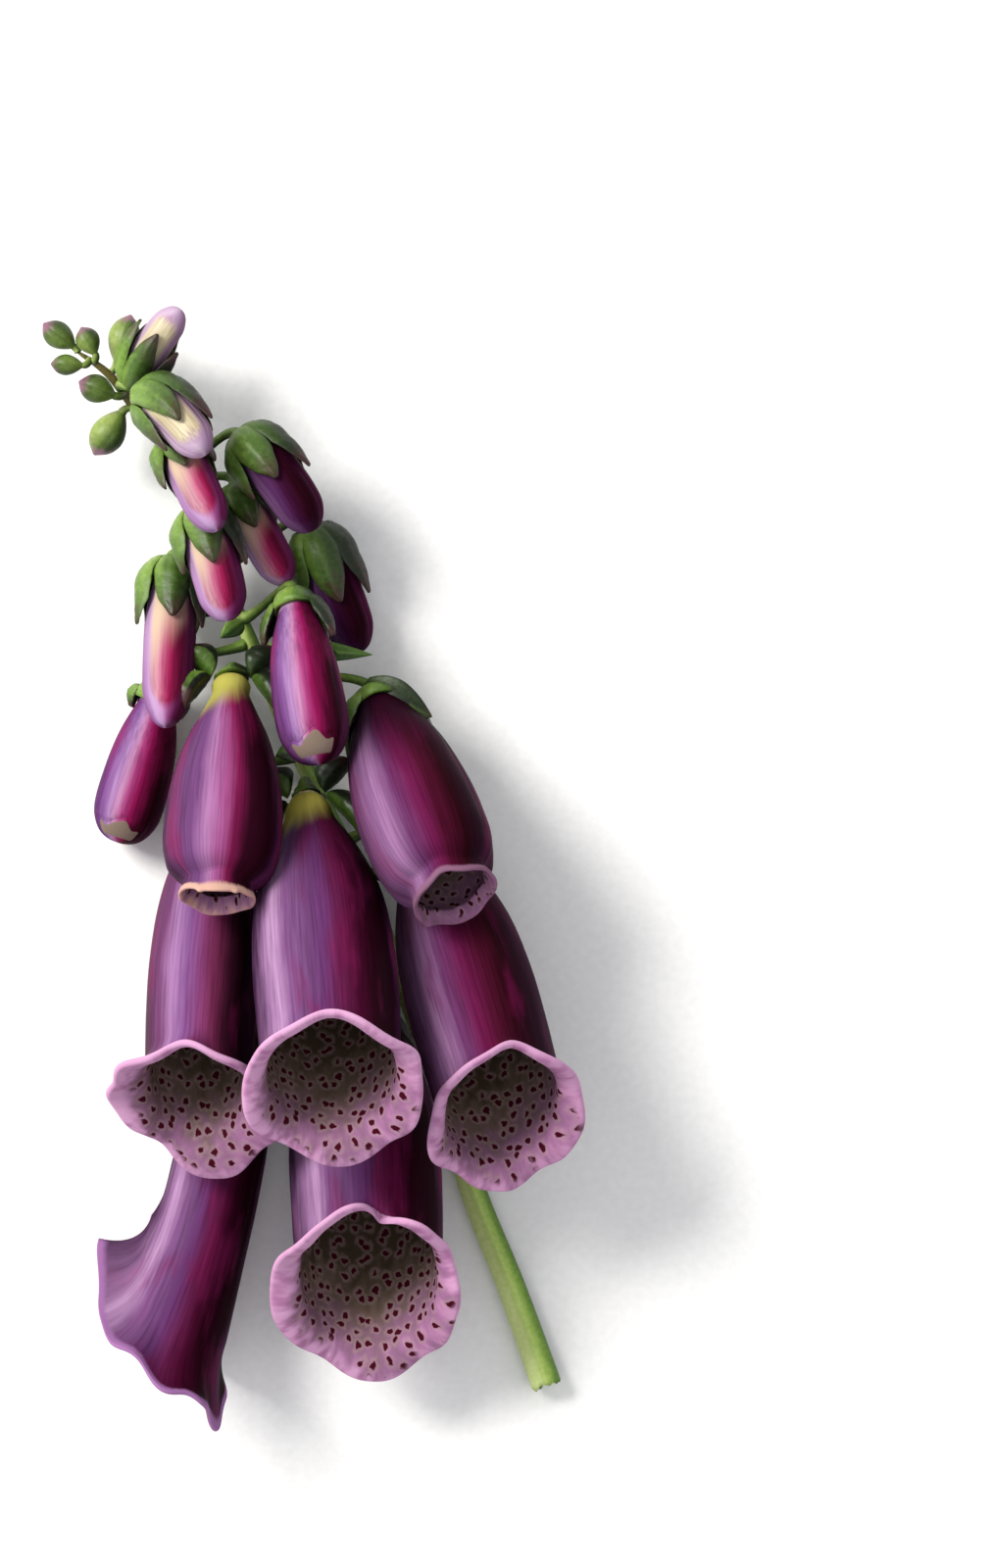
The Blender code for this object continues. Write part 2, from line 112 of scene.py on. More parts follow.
# %% Smooth steps, curves and wobble
def rise(fraction):
    """f f (3 - 2 f) with f held between 0 and 1: a smooth climb from 0 to 1."""
    fraction = np.clip(fraction, 0, 1)
    return fraction * fraction * (3 - 2 * fraction)


def through(where, places, values):
    """A smooth curve through values at places: cubic pieces whose slopes are the mean of the slopes on
    either side."""
    places = np.array(places, float)
    values = np.array(values, float)
    slopes = np.gradient(values, places)
    i = np.clip(np.searchsorted(places, where) - 1, 0, len(places) - 2)
    step = places[i + 1] - places[i]
    f = np.clip((where - places[i]) / step, 0, 1)
    return ((2 * f ** 3 - 3 * f ** 2 + 1) * values[i] + (f ** 3 - 2 * f ** 2 + f) * step * slopes[i]
            + (3 * f ** 2 - 2 * f ** 3) * values[i + 1] + (f ** 3 - f ** 2) * step * slopes[i + 1])


def wobble(angle, seed, waves=(3, 5, 8, 13)):
    """A sum of sines of the angle with phases and sizes drawn from the seed; about -1 to 1."""
    rng = np.random.default_rng(seed)
    total = sum(rng.uniform(0.5, 1) * np.sin(n * angle + rng.uniform(0, 2 * pi)) / n ** 0.5
                for n in waves)
    return total / 1.6


# %% Closed shells and pieces
def shell(rows, values, poles=None):
    """Quads between neighbouring points of a grid whose columns close round. Without poles the last row
    meets the first, like a tube with a wall; with poles each end closes in a fan on its own point.
    values holds arrays on the same grid that the materials read as attributes."""
    count, around = rows.shape[:2]
    index = np.arange(count * around).reshape(count, around)
    lower = index if poles is None else index[:-1]
    upper = np.roll(index, -1, axis=0) if poles is None else index[1:]
    quads = np.stack([lower, np.roll(lower, -1, axis=1), np.roll(upper, -1, axis=1), upper], axis=-1)
    faces = quads.reshape(-1, 4).tolist()
    points = rows.reshape(-1, 3)
    flat = {key: np.broadcast_to(grid, rows.shape).reshape(-1, 3) for key, grid in values.items()}
    if poles is not None:
        points = np.vstack([points, np.array(poles, float)])
        flat = {key: np.vstack([grid, grid[:around].mean(axis=0), grid[-around:].mean(axis=0)])
                for key, grid in flat.items()}
        first, last = count * around, count * around + 1
        faces += np.stack([np.roll(index[0], -1), index[0], np.full(around, first)], axis=-1).tolist()
        faces += np.stack([index[-1], np.roll(index[-1], -1), np.full(around, last)], axis=-1).tolist()
    if signed_volume(points, faces) < 0:
        faces = [face[::-1] for face in faces]
    return points, faces, flat


def signed_volume(points, faces):
    """A sixth of the sum of triple products over each face's fan: positive when faces point outwards."""
    corners = np.array([face[:3] for face in faces] + [[f[0], f[2], f[3]] for f in faces if len(f) == 4])
    a, b, c = (points[corners[:, k]] for k in range(3))
    return (np.cross(a, b) * c).sum() / 6


def put(name, data):
    """A new object in the scene."""
    thing = bpy.data.objects.new(name, data)
    bpy.context.scene.collection.objects.link(thing)
    return thing


PRESSED = 1.6         # petals this near the table, mm, are pressed flat on it
TABLE_GAP = 0.02      # and stay this far off it, mm


def grow(name, shells, material, node):
    """A piece at the origin made of closed shells, in metres, with one three-number attribute for each
    entry of their values; it stands for a node of the CAD model. Heights from minus to plus the pressed
    depth are squeezed evenly into heights from the gap to that depth."""
    starts = np.cumsum([0] + [len(points) for points, _, _ in shells])
    points = np.vstack([points for points, _, _ in shells]) + CENTRE_SHIFT
    low = points[:, 2]
    squeezed = TABLE_GAP + (low + PRESSED) * (PRESSED - TABLE_GAP) / (2 * PRESSED)
    points[:, 2] = np.where(low < PRESSED, squeezed, low)
    faces = [[i + start for i in face] for start, (_, part, _) in zip(starts, shells) for face in part]
    mesh = bpy.data.meshes.new(name)
    mesh.from_pydata((points * MM).tolist(), [], faces)
    for key in shells[0][2]:
        numbers = np.vstack([values[key] for _, _, values in shells])
        layer = mesh.attributes.new(key, "FLOAT_VECTOR", "POINT")
        layer.data.foreach_set("vector", np.ascontiguousarray(numbers, np.float32).ravel())
    mesh.update()
    mesh.shade_smooth()
    mesh.materials.append(material)
    piece = put(name, mesh)
    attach(piece, "root")
    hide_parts(node)
    return piece


# %% [markdown]
# ## The flowers' places
# The CAD model's design table: each corolla's axis as three points, the side its upper lip is on, its
# radii, how far its lower lip outreaches the upper, where its stalk leaves the stem, the length of its
# sepals and how far their tips stand off the corolla.

# %% Design table, mm
Flower = namedtuple("Flower", "name kind path up tube mouth lip root calyx flare")
UP = (0, 0, 1)
BELLS = [Flower(f"bell_{number}", *row) for number, row in enumerate((
    ("bell", ((5, -16, 6.7), (7, -35, 8.6), (8, -56, 18)), UP, 9.9, 11.6, 14, -13, 9, 0.7),
    ("trumpet", ((-10, -21.5, 6.8), (-13, -43, 6.5), (-18.5, -62.5, 12)), (-1, 0, 0.2),
     6.2, 10.9, 15.2, -4, 9, 0.6),
    ("bell", ((14.5, 5, 7.5), (21, -15, 16.5), (26, -33.5, 28)), (0.3, 0, 1), 8.6, 10, 12, 3, 9, 1.2),
    ("domed", ((-0.5, 9.5, 12), (2, -11, 24.5), (3.5, -29.5, 37.5)), UP, 9.3, 11.2, 11, 9, 8, 1.6),
    ("bell", ((-12, 10.5, 6.5), (-14, -12, 14.5), (-14.5, -32, 24)), (-0.2, 0, 1), 7.2, 10.6, 10, 15, 9, 0.8),
    ("half", ((9, 22, 11.5), (14.5, 7, 23), (19.5, -4, 29)), UP, 8, 5.4, 4, 24, 8, 0.4),
    ("necked", ((-10.5, 25, 11), (-11, 9.5, 21.5), (-12, -5, 28)), UP, 7.6, 4.6, 3, 26, 7, 1.8)), 1)]
BUDS = [Flower(f"bud_{number}", kind, path, UP, tube, 0, 0, root, calyx, flare)
        for number, (kind, path, tube, root, calyx, flare) in enumerate((
    ("club", ((-20, 24, 6.6), (-23, 13, 5.2), (-26, 3, 4.8)), 4.6, 30, 7, 0.2),
    ("club", ((-2, 35.5, 14.4), (-0.3, 24, 20.2), (1.6, 13.5, 23.4)), 4.8, 33, 7, 0.4),
    ("bud", ((-18.5, 40, 7), (-18.8, 29, 11), (-19.2, 18.5, 15)), 3.5, 42, 9, 0.6),
    ("bud", ((0.5, 44.5, 6.5), (3.5, 36.5, 5.4), (6.5, 28.5, 4.6)), 3.5, 39.5, 9, 0.3),
    ("bud", ((-14.6, 46.3, 14.6), (-12.4, 39.5, 17.4), (-10.7, 32.5, 18.4)), 3.4, 47, 8, 0.3),
    ("bud", ((-9.5, 50, 9.9), (-6.3, 43.5, 11), (-3, 37.7, 10.3)), 2.8, 51, 6, 0.4),
    ("bud", ((-8.5, 56.5, 14.5), (-3.5, 51, 17), (0.5, 44.5, 17)), 3.4, 53, 8, 0.6),
    ("bud", ((-17.5, 55.7, 13.6), (-15, 50.6, 19.9), (-12, 44.5, 24)), 3, 57, 6.5, 0.4),
    ("bud", ((-21, 62.1, 17.4), (-18, 59.9, 21.9), (-13.5, 54.5, 25.8)), 3, 61, 7, 0.6),
    ("bud", ((-23.3, 65.2, 13), (-20.5, 69.7, 15.5), (-17, 74, 17)), 2.4, 64, 7, 0.6)), 1)]
STEM_PATH = ((31.5, -69.5, 2), (26.8, -56.5, 2), (22, -44.5, 2), (17.8, -30.5, 2),
             (12, -15, 2), (5, 1, 2.4), (-3.5, 19, 4), (-8.5, 31, 5.6), (-14.5, 44, 7.4),
             (-19.5, 56, 8.8), (-24, 62, 9.8), (-28, 66.6, 10.6), (-31, 68.6, 11))
STEM_RADIUS_CUT, STEM_RADIUS_TIP = 2, 0.6
PROFILES = {
    "bell": ((0, 0.08, 0.2, 0.38, 0.6, 0.8, 0.93, 1), (0.32, 0.38, 0.62, 0.9, 1.02, 1.02, 1, 0.99)),
    "domed": ((0, 0.015, 0.05, 0.1, 0.2, 0.38, 0.6, 0.8, 0.93, 1),
              (0.08, 0.2, 0.31, 0.37, 0.6, 0.9, 1.02, 1.02, 1, 0.99)),
    "trumpet": ((0, 0.08, 0.2, 0.38, 0.6, 0.8, 0.93, 1), (0.42, 0.52, 0.8, 0.96, 1, 1.04, 1.12, 1.18)),
    "half": ((0, 0.08, 0.25, 0.5, 0.72, 0.88, 0.96, 1), (0.36, 0.46, 0.76, 0.98, 1.03, 0.97, 0.84, 0.68)),
    "necked": ((0, 0.02, 0.09, 0.18, 0.3, 0.48, 0.72, 0.88, 0.96, 1),
               (0.15, 0.28, 0.33, 0.48, 0.7, 0.92, 1.03, 0.98, 0.84, 0.62)),
    "club": ((0, 0.1, 0.3, 0.6, 0.8, 0.93, 1), (0.36, 0.52, 0.82, 1, 0.99, 0.86, 0.8)),
    "bud": ((0, 0.1, 0.3, 0.55, 0.8, 0.94, 1), (0.5, 0.74, 0.96, 1, 0.94, 0.86, 0.8)),
}
print(len(BELLS), "open flowers and", len(BUDS), "buds")

# %% [markdown]
# ## Colours and a node helper
# Petals are coloured by their sap, so colour changes along each petal; around each petal it also
# carries painted light and shade. Colours are written as sRGB hex values, and one function makes
# them linear.

# %% Colour and node helpers
def linear(code):
    """sRGB hex to linear: each channel c is ((c + 0.055) / 1.055) to the power 2.4, or c / 12.92 if dark."""
    channels = np.array([int(code[i:i + 2], 16) / 255 for i in (0, 2, 4)])
    return (*np.where(channels <= 0.04045, channels / 12.92, ((channels + 0.055) / 1.055) ** 2.4), 1)


def new_material(name, **sockets):
    """A material whose Principled shader has these constants, with its own add and surface functions."""
    material = bpy.data.materials.new(name)
    material.use_nodes = True
    shader = material.node_tree.nodes["Principled BSDF"]
    for key, value in sockets.items():
        shader.inputs[key.replace("_", " ")].default_value = value
    return material, partial(add_node, material.node_tree), partial(link_surface, material.node_tree, shader)


def link_surface(tree, shader, **outputs):
    """Links each output to the shader's socket of that name."""
    for key, output in outputs.items():
        tree.links.new(output, shader.inputs[key.replace("_", " ")])


# What a node is set to unless a call says otherwise. Math then gives input 0 times input 1 plus input 2.
# MapRange climbs smoothly from 0 to 1, or from input 3 to input 4, while its value goes from input 1 to
# input 2. Mix blends colours 6 and 7 by share 0, and its colour is output 2.
USUAL = {"Math": {"operation": "MULTIPLY_ADD"}, "VectorMath": {"operation": "MULTIPLY"},
         "MapRange": {"interpolation_type": "SMOOTHSTEP"}, "Mix": {"data_type": "RGBA"}}
LINEAR = {"interpolation_type": "LINEAR"}


def add_node(tree, kind, inputs, out=0, ramp=None, **settings):
    """One node with its settings. inputs lists, or gives by place or name, a socket to link, a hex colour
    or a value; ramp gives a colour ramp's stops in order. The output numbered out comes back."""
    node = tree.nodes.new("ShaderNode" + kind)
    for key, value in {**USUAL.get(kind, {}), **settings}.items():
        setattr(node, key, value)
    if ramp:
        for place in list(ramp)[2:]:
            node.color_ramp.elements.new(place)
        for element, (place, code) in zip(node.color_ramp.elements, ramp.items()):
            element.position, element.color = place, linear(code)
    for place, value in inputs.items() if isinstance(inputs, dict) else enumerate(inputs):
        if isinstance(value, bpy.types.NodeSocket):
            tree.links.new(value, node.inputs[place])
        else:
            node.inputs[place].default_value = linear(value) if isinstance(value, str) else value
    return node.outputs[out]


# %% [markdown]
# ## Petals
# A foxglove petal is a thin, velvety sheet of living cells with veins from base to mouth. Its purple is
# sap colour, so it fades to yellow-green at the base and to pale pink at the rolled rim, and it varies in
# long streaks. Over the sap each petal carries painted light: a pale lilac painted highlight on its left
# side and painted shade, near black, on its right. Inside a bell the ground is mauve at the lip and is
# painted darker, to olive, deeper in and on the left as painted shade; it has maroon spots with a pale
# ring. The patterns follow three attributes of the mesh: `zone` (inside or outside, place from base to
# mouth, distance from the rim in mm), `round` (the point on the tube in mm, which has no seam) and
# `local` (distance from the lower lip's middle line, distance from the base, and place across the spike,
# from which the painted light and shade are drawn).

# %% Petal material
PETAL_ROUGHNESS = 0.42
STREAK, VEIN, CLOUD = (0.5, 0.5, 0.035), (2.9, 2.9, 0.1), (0.2, 0.2, 0.06)   # per mm, along last


def petal(name, painted_light_tones, foot="8A7A38", foot_end=0.07, blush="7A1E50", rim="CA98BC", rim_band=1,
          shadow_top=0, edge=None):
    """Living petal, velvety. tones: sap colours with painted light, a painted highlight towards the left
    side and painted shade, near black, towards the right; foot: colour at the base, gone by foot_end;
    blush: crimson of the clouds; rim: colour of the mouth's edge, over rim_band mm; shadow_top: how much
    painted shadow, near black, lies over the upper half; edge: colours beside a bud's folds, with the same
    painted light and shade."""
    material, add, surface = new_material(name, IOR=1.42, Specular_IOR_Level=0.012)
    zone, around, local = (add("Attribute", {}, 1, attribute_name=key) for key in ("zone", "round", "local"))
    inside, along, rim_mm = add("SeparateXYZ", [zone]).node.outputs
    across, down, painted_light_flank = add("SeparateXYZ", [local]).node.outputs
    # streaks 2 mm wide, veins 0.35 mm apart and clouds 5 mm across, all drawn out along the petal
    streak, vein, cloud = (
        add("TexNoise", {"Scale": 1, "Detail": detail, "Roughness": rough, "Vector": add(
            "VectorMath", [around, stretch])})
        for detail, rough, stretch in ((3, 0.6, STREAK), (2, 0.5, VEIN), (3, 0.55, CLOUD)))
    # place across the spike, which the ramp turns into painted light: a highlight on the left side and
    # painted shade on the right
    place = add("Math", [streak, 0.11, painted_light_flank])
    place = add("Math", [cloud, 0.18, place])
    place = add("Math", [place, 1, -0.145])
    colour = add("ValToRGB", [place], ramp=painted_light_tones)
    # layers: how much of each lies over the colour so far, what it is, and how it blends
    blushed = add("MapRange", [cloud, 0.5, 0.68, 0, 0.45])
    layers = [(blushed, blush, "MIX")]
    # painted shadow: near black over the upper half of the petal, as much as shadow_top
    if shadow_top:
        upper = add("Math", [streak, 0.25, along])
        layers += [(add("MapRange", [upper, 0.72, 0.3, 0, shadow_top]), "1C0713", "MIX")]
    veins = add("ValToRGB", [vein], ramp={0.3: "BCB4BC", 0.5: "E4E0E4", 0.72: "FCFCFC"})
    footed = add("Math", [streak, foot_end * 0.7, along])
    footed = add("Math", [painted_light_flank, foot_end, footed])
    footed = add("Math", [footed, 1, foot_end * -0.45])
    footed = add("MapRange", [footed, foot_end * 2, foot_end * 0.9])
    ragged = add("Math", [vein, rim_band * 0.5, rim_mm])
    lip = add("MapRange", [ragged, rim_band * 1.35, rim_band * 0.55])
    layers += [(0.75, veins, "MULTIPLY"), (footed, foot, "MIX"), (lip, rim, "MIX")]
    if edge:
        # fold: the edge colours beside the folds, which on a club are dark brown, painted shade in the slit
        # between its lips; slit: painted shade, dark brown, where inside is above 0
        fold = add("MapRange", [inside, -0.4, -0.1, 0, 0.9])
        slit = add("MapRange", [inside, 0, 0.8, 0, 0.3])
        layers += [(fold, add("ValToRGB", [place], ramp=edge), "MIX"), (slit, "2A1410", "MIX")]
    else:
        lined = add("MapRange", [inside, 0.35, 0.9], **LINEAR)
        layers += [(lined, throat(add, around, across, down, painted_light_flank, rim_mm, rim, rim_band), "MIX")]
    for share, other, blend in layers:
        colour = add("Mix", {0: share, 6: colour, 7: other}, 2, blend_type=blend)
    relief = add("Math", [vein, 0.6, streak])
    surface(Base_Color=colour,
            Normal=add("Bump", {"Height": relief, "Strength": 0.3, "Distance": 0.0002}),
            Roughness=add("MapRange", [vein, 0.3, 0.7, PETAL_ROUGHNESS - 0.06, PETAL_ROUGHNESS + 0.1],
                          **LINEAR))
    return material


def throat(add, around, across, down, painted_light_flank, rim_mm, rim, rim_band):
    """Inside of a bell: a pale band at the rim, widest on the upper lip and, as painted light, on the
    left; mauve on the lip, darkening to olive deeper in and on the left, which is painted shade; spots
    1 mm across in cells of 2 mm, most of them in a soft pale ring."""
    cloud = add("TexNoise", {"Scale": 1, "Detail": 2, "Roughness": 0.55, "Vector": add(
        "VectorMath", [around, (0.6, 0.6, 0.4)])})
    upper = add("MapRange", [add("Math", [across], operation="ABSOLUTE"), 12, 24], **LINEAR)
    # the pale band's reach: wider on the upper lip, and wider on the left as painted light
    near = add("Math", [rim_mm, 1 / rim_band, 0.9])
    near = add("Math", [upper, -2, near])
    near = add("Math", [painted_light_flank, 1.4, near])
    # painted shade: the ground darkens from mauve to olive deeper into the throat and on the left
    depth = add("Math", [painted_light_flank, -3.5, rim_mm])
    depth = add("Math", [cloud, 12, depth])
    deep = add("MapRange", [depth, 2, 20], **LINEAR)
    ground = add("ValToRGB", [deep], ramp={
        0: "AC789C", 0.16: "94668A", 0.32: "845E78", 0.5: "745A62", 0.7: "66564A", 1: "463A2E"})
    edge = add("Math", [cloud, 3, near])
    pale = add("MapRange", [edge, 4.6, 2.4])
    flushed = add("MapRange", [cloud, 0.42, 0.66, 0, 0.75])
    flushed = add("Mix", {0: flushed, 6: rim, 7: "A06490"}, 2)
    ground = add("Mix", {0: pale, 6: ground, 7: flushed}, 2)
    spots = add("CombineXYZ", [across, down])
    wavy = add("TexNoise", {"Vector": spots, "Scale": 0.9, "Detail": 2}, 1)
    spots = add("VectorMath", [wavy, (1.1, 1.1, 0), spots], operation="MULTIPLY_ADD")
    cell = add("TexVoronoi", {"Vector": spots, "Scale": 0.5, "Randomness": 0.7},
               voronoi_dimensions="2D")
    blot = add("TexNoise", {"Vector": spots, "Scale": 1.1, "Detail": 2})
    size = add("Math", [blot, 0.34, cell])
    kept = add("MapRange", [edge, 3.4, 4.4])
    for outer, inner, most, code in ((0.72, 0.44, 0.34, "A68C88"), (0.42, 0.34, 1, "3E0A1A")):
        ring = add("MapRange", [size, outer, inner, 0, most])
        ring = add("Math", [ring, kept], operation="MULTIPLY")
        ground = add("Mix", {0: ring, 6: ground, 7: code}, 2)
    return ground


# %% Petal colours of the open bells
# Each ramp runs from the left side of the spike to the right: sap purple and crimson, with a pale lilac
# painted highlight near the left and painted shade, near black, towards the right
SAP_AND_PAINTED_LIGHT = {0: "3E2440", 0.09: "8E6890", 0.15: "AE88AE", 0.24: "7A507E", 0.35: "6A4470",
       0.48: "623466", 0.6: "602048", 0.7: "480D2C", 0.8: "2A0616", 0.94: "220512", 1: "4A2444"}
LILAC_SAP_AND_PAINTED_LIGHT = {0: "482E3C", 0.12: "6E4068", 0.24: "A076A4", 0.37: "7D4F86", 0.5: "7F3B69",
             0.62: "6A2748", 0.75: "341222", 0.87: "1E0812", 1: "341630"}
WINE_SAP_AND_PAINTED_LIGHT = {0: "42203A", 0.09: "7E5680", 0.16: "9A709A", 0.28: "643460", 0.42: "661A46",
            0.56: "4A1028", 0.7: "2A0811", 0.84: "260C1C", 1: "401A36"}
ROSY_SAP_AND_PAINTED_LIGHT = {0: "42243E", 0.12: "5C3A62", 0.26: "6E4474", 0.38: "A472A0", 0.48: "9C5488",
            0.6: "7C1C4C", 0.73: "320A1C", 0.9: "260612", 1: "4E2446"}
# shadow_top lays painted shadow, near black, over the upper half of the wine, necked and dark petals
bell_petal = petal("purple_petal", SAP_AND_PAINTED_LIGHT)
lilac_bell_petal = petal("lilac_petal", LILAC_SAP_AND_PAINTED_LIGHT)
wine_bell_petal = petal("wine_purple_petal", WINE_SAP_AND_PAINTED_LIGHT, blush="741448", rim="C492B6", shadow_top=0.6)
necked_bell_petal = petal("yellow_necked_petal", SAP_AND_PAINTED_LIGHT, "C0B654", 0.12, shadow_top=0.35)
side_bell_petal = petal("lilac_edged_petal", SAP_AND_PAINTED_LIGHT, foot_end=0.05, rim="9A6A9E", rim_band=1.2)
dark_bell_petal = petal("dark_purple_petal", WINE_SAP_AND_PAINTED_LIGHT, "4A2A24", 0.03, "6A1444", "7E5870", 0.6, 0.9)
rosy_bell_petal = petal("rosy_purple_petal", ROSY_SAP_AND_PAINTED_LIGHT, "A8A24E", 0.15, "8C1E52", "C49C8C", 0.6)
print("petal nodes:", len(bell_petal.node_tree.nodes))

# %% [markdown]
# ## Open bells
# A bell is one tube of joined petals that flares at its mouth, where its edge rolls outwards and runs in
# shallow waves; the lower lip is longest. It could be lathed with the mouth sculpted, but a function of
# angle and place along the axis keeps the ribs, the lobes and the spots tied together.

# %% The mouths, flower by flower
# lip: share of the design's lower lip; spread: a power that narrows that lip; lobe: how far the lobes
# stand beyond the notches, mm; wave: size of the ruffles, mm; curl: how far the edge turns out, degrees;
# lean: how far the rim's side away from the table stands beyond its other side, mm
Mouth = namedtuple("Mouth", "lip spread lobe wave curl lean petal")
MOUTHS = {
    "bell_1": Mouth(0.9, 0.9, 1.3, 1.3, 78, 0, bell_petal),
    "bell_2": Mouth(0.84, 0.35, 1.8, 2, 50, 7.5, side_bell_petal),
    "bell_3": Mouth(0.7, 0.8, 1, 1.1, 75, 0, wine_bell_petal),
    "bell_4": Mouth(0.66, 0.8, 1, 1, 78, 0, necked_bell_petal),
    "bell_5": Mouth(0.78, 0.9, 1.2, 1.3, 75, 0, lilac_bell_petal),
    "bell_6": Mouth(0.8, 1, 0.3, 0.6, 25, 0, dark_bell_petal),
    "bell_7": Mouth(0.1, 1, 0.2, 0.6, 25, 0, rosy_bell_petal),
}
# places where a rim has its own notch or point: angle and half width in degrees, then how far the edge
# stands out and how far it reaches, mm
ACCENTS = {
    "bell_1": ((-12, 8, -3.4, -0.6), (12, 13, 0.9, 0), (-34, 12, 0.7, 0), (84, 30, 0.9, 0)),
    "bell_2": ((0, 12, 2.2, -2.6), (-50, 16, 0.6, 0.8), (-115, 12, -0.6, -1.2), (-158, 20, -0.4, 3.6),
               (178, 18, -1, -0.6), (92, 50, -1.8, 0)),
    "bell_3": ((-60, 25, 0.6, 0), (150, 25, -0.6, 0)),
    "bell_4": ((14, 20, 0.2, 0), (-68, 12, 0.9, 0), (140, 24, -0.8, 0)),
    "bell_5": ((40, 11, 1.5, 0), (70, 12, 1.6, 0), (118, 30, -2.4, -1), (-60, 28, -1.2, -0.6)),
    "bell_7": ((0, 26, 0.3, 1), (-30, 6, 0.2, 0.3), (26, 6, 0.2, 0.3), (180, 60, 0.5, 0.4)),
}

# %% Bell surface
LOBES = 5
PETAL_WALL, RIM_WALL, THIN_RIM = 0.55, 1, 0.55     # mm; a full rim is thicker, so it looks rolled
CURL_ROWS, EDGE_ROWS = 14, 9


def petal_values(flower, axis, zone, angle, radius, distance, arc):
    """The attributes that the petal material reads. arc is the place along the petal's own surface,
    and the last number of local is 0 where the surface faces -X and 1 where it faces +X; the petal
    colours paint light and shade from it."""
    _, _, top, side = axis.frame(distance)
    painted_light_across = 0.5 + 0.5 * (np.cos(angle) * top[..., 0] + np.sin(angle) * side[..., 0])
    return {"zone": np.stack(np.broadcast_arrays(*zone, distance)[:3], axis=-1),
            "round": np.stack([radius * np.cos(angle), radius * np.sin(angle), arc], axis=-1),
            "local": np.stack([(angle - pi) * flower.tube, arc, painted_light_across], axis=-1)}


def bell(flower, mouth, seed, columns=220, rows=64):
    """Tube: radius follows the profile, with five soft ribs; distance is u times the length plus u cubed
    times the reach of the lip. Then the edge curls outwards on an arc that ends at the rim's radius. An
    accent moves the curl by the square of how far it has turned. A half circle joins the outer side to
    the inner side, one wall's thickness within."""
    axis = Axis(flower.path, flower.up)
    length = axis.length - flower.lip / 2
    angle = turns(columns)
    petals = np.cos(LOBES * (angle - pi))
    lobe = 1 - (0.5 - 0.5 * petals) ** 1.6
    lower = 0.5 - 0.5 * np.cos(angle)
    _, _, top, side = axis.frame(np.array(axis.length))
    height = np.cos(angle) * top[2] + np.sin(angle) * side[2]
    stations, radii = PROFILES[flower.kind]
    out = onward = 0 * angle
    for place, half_width, further_out, further_on in ACCENTS.get(flower.name, ()):
        apart = (np.degrees(angle) - place + 180) % 360 - 180
        hump = np.exp(-(apart / half_width) ** 2)
        out, onward = out + further_out * hump, onward + further_on * hump
    rim = flower.mouth + 0.4 * lobe + mouth.wave * 0.45 * wobble(angle, seed + 1, (3, 5, 7, 11))
    curl = radians(mouth.curl)
    bend = np.maximum(rim - radii[-1] * flower.tube, 0.35) / (1 - cos(curl))
    reach = (flower.lip * mouth.lip * lower ** mouth.spread + mouth.lobe * lobe
             + mouth.wave * 0.55 * wobble(angle, seed, (3, 5, 8)) + mouth.lean * height
             - bend * sin(curl))
    u = np.linspace(0, 1, rows)[:, None] ** 0.9
    belly = np.sin(pi * u) ** 2
    tube = through(u, stations, radii) * flower.tube * (
        1 + 0.012 * belly * petals - 0.02 * belly * np.clip(np.cos(LOBES * angle), 0, 1) ** 8)
    turn = np.linspace(0, curl, CURL_ROWS + 1)[1:, None]
    edgewards = (turn / curl) ** 2
    distance = np.vstack([u * length + u ** 3 * reach,
                          length + reach + bend * np.sin(turn) + onward * edgewards])
    radius = np.vstack([tube, tube[-1] + bend * (1 - np.cos(turn)) + out * edgewards])
    tilt = np.vstack([0 * u, turn])
    rim_wall = THIN_RIM if flower.mouth < 7 or mouth.lean else RIM_WALL
    near_rim = rise((np.vstack([u, 1 + turn / curl * 0.1]) - 0.93) / 0.17)
    wall = PETAL_WALL + (rim_wall - PETAL_WALL) * near_rim
    edge = np.linspace(pi / 2, -pi / 2, EDGE_ROWS + 2)[1:-1, None]
    half = wall[-1] / 2
    along_petal, off_petal = half * np.cos(edge), half * (np.sin(edge) - 1)
    edge_distance = distance[-1] + along_petal * cos(curl) - off_petal * sin(curl)
    edge_radius = radius[-1] + along_petal * sin(curl) + off_petal * cos(curl)
    inner_distance, inner_radius = distance + wall * np.sin(tilt), radius - wall * np.cos(tilt)
    all_distance = np.vstack([distance, edge_distance, inner_distance[::-1]])
    all_radius = np.vstack([radius, edge_radius, inner_radius[::-1]])
    to_rim = np.vstack([distance[rows - 1] - distance[:rows] + bend * curl, bend * (curl - turn)])
    arc = np.vstack([distance[:rows], length + reach + bend * turn])
    place = np.vstack([u, 0 * turn + 1])
    inside = np.vstack([0 * place, 0.5 - edge / pi, 0 * place + 1])
    place, to_rim, arc = (np.vstack([grid, 0 * edge + grid[-1], grid[::-1]]) for grid in (place, to_rim, arc))
    all_angle = angle + 0 * all_distance
    values = petal_values(flower, axis, (inside, place, to_rim), all_angle, flower.tube, all_distance, arc)
    return shell(axis.around(all_distance, all_radius, all_angle), values)


# %% Grow the bells
for seed, flower in enumerate(BELLS):
    mouth = MOUTHS[flower.name]
    piece = grow(flower.name + "_petals", [bell(flower, mouth, 20 + 5 * seed)], mouth.petal,
                 flower.name + "_corolla")
    print(piece.name, len(piece.data.polygons), "faces")

# %% [markdown]
# ## Shut buds
# A bud's petals are folded over one another, so a bud has panels: a warm centre on each panel and pale
# lilac edges beside the folds. The folds are creases in the surface, not lines painted on it.

# %% Bud petals
UPPER_FOLD, LOWER_FOLD = radians(58), 2.2       # angles of the folds from the upper lip's middle
CLUB_END = 9          # how far from the rim a club's skin counts as, mm; its end patch counts as rim


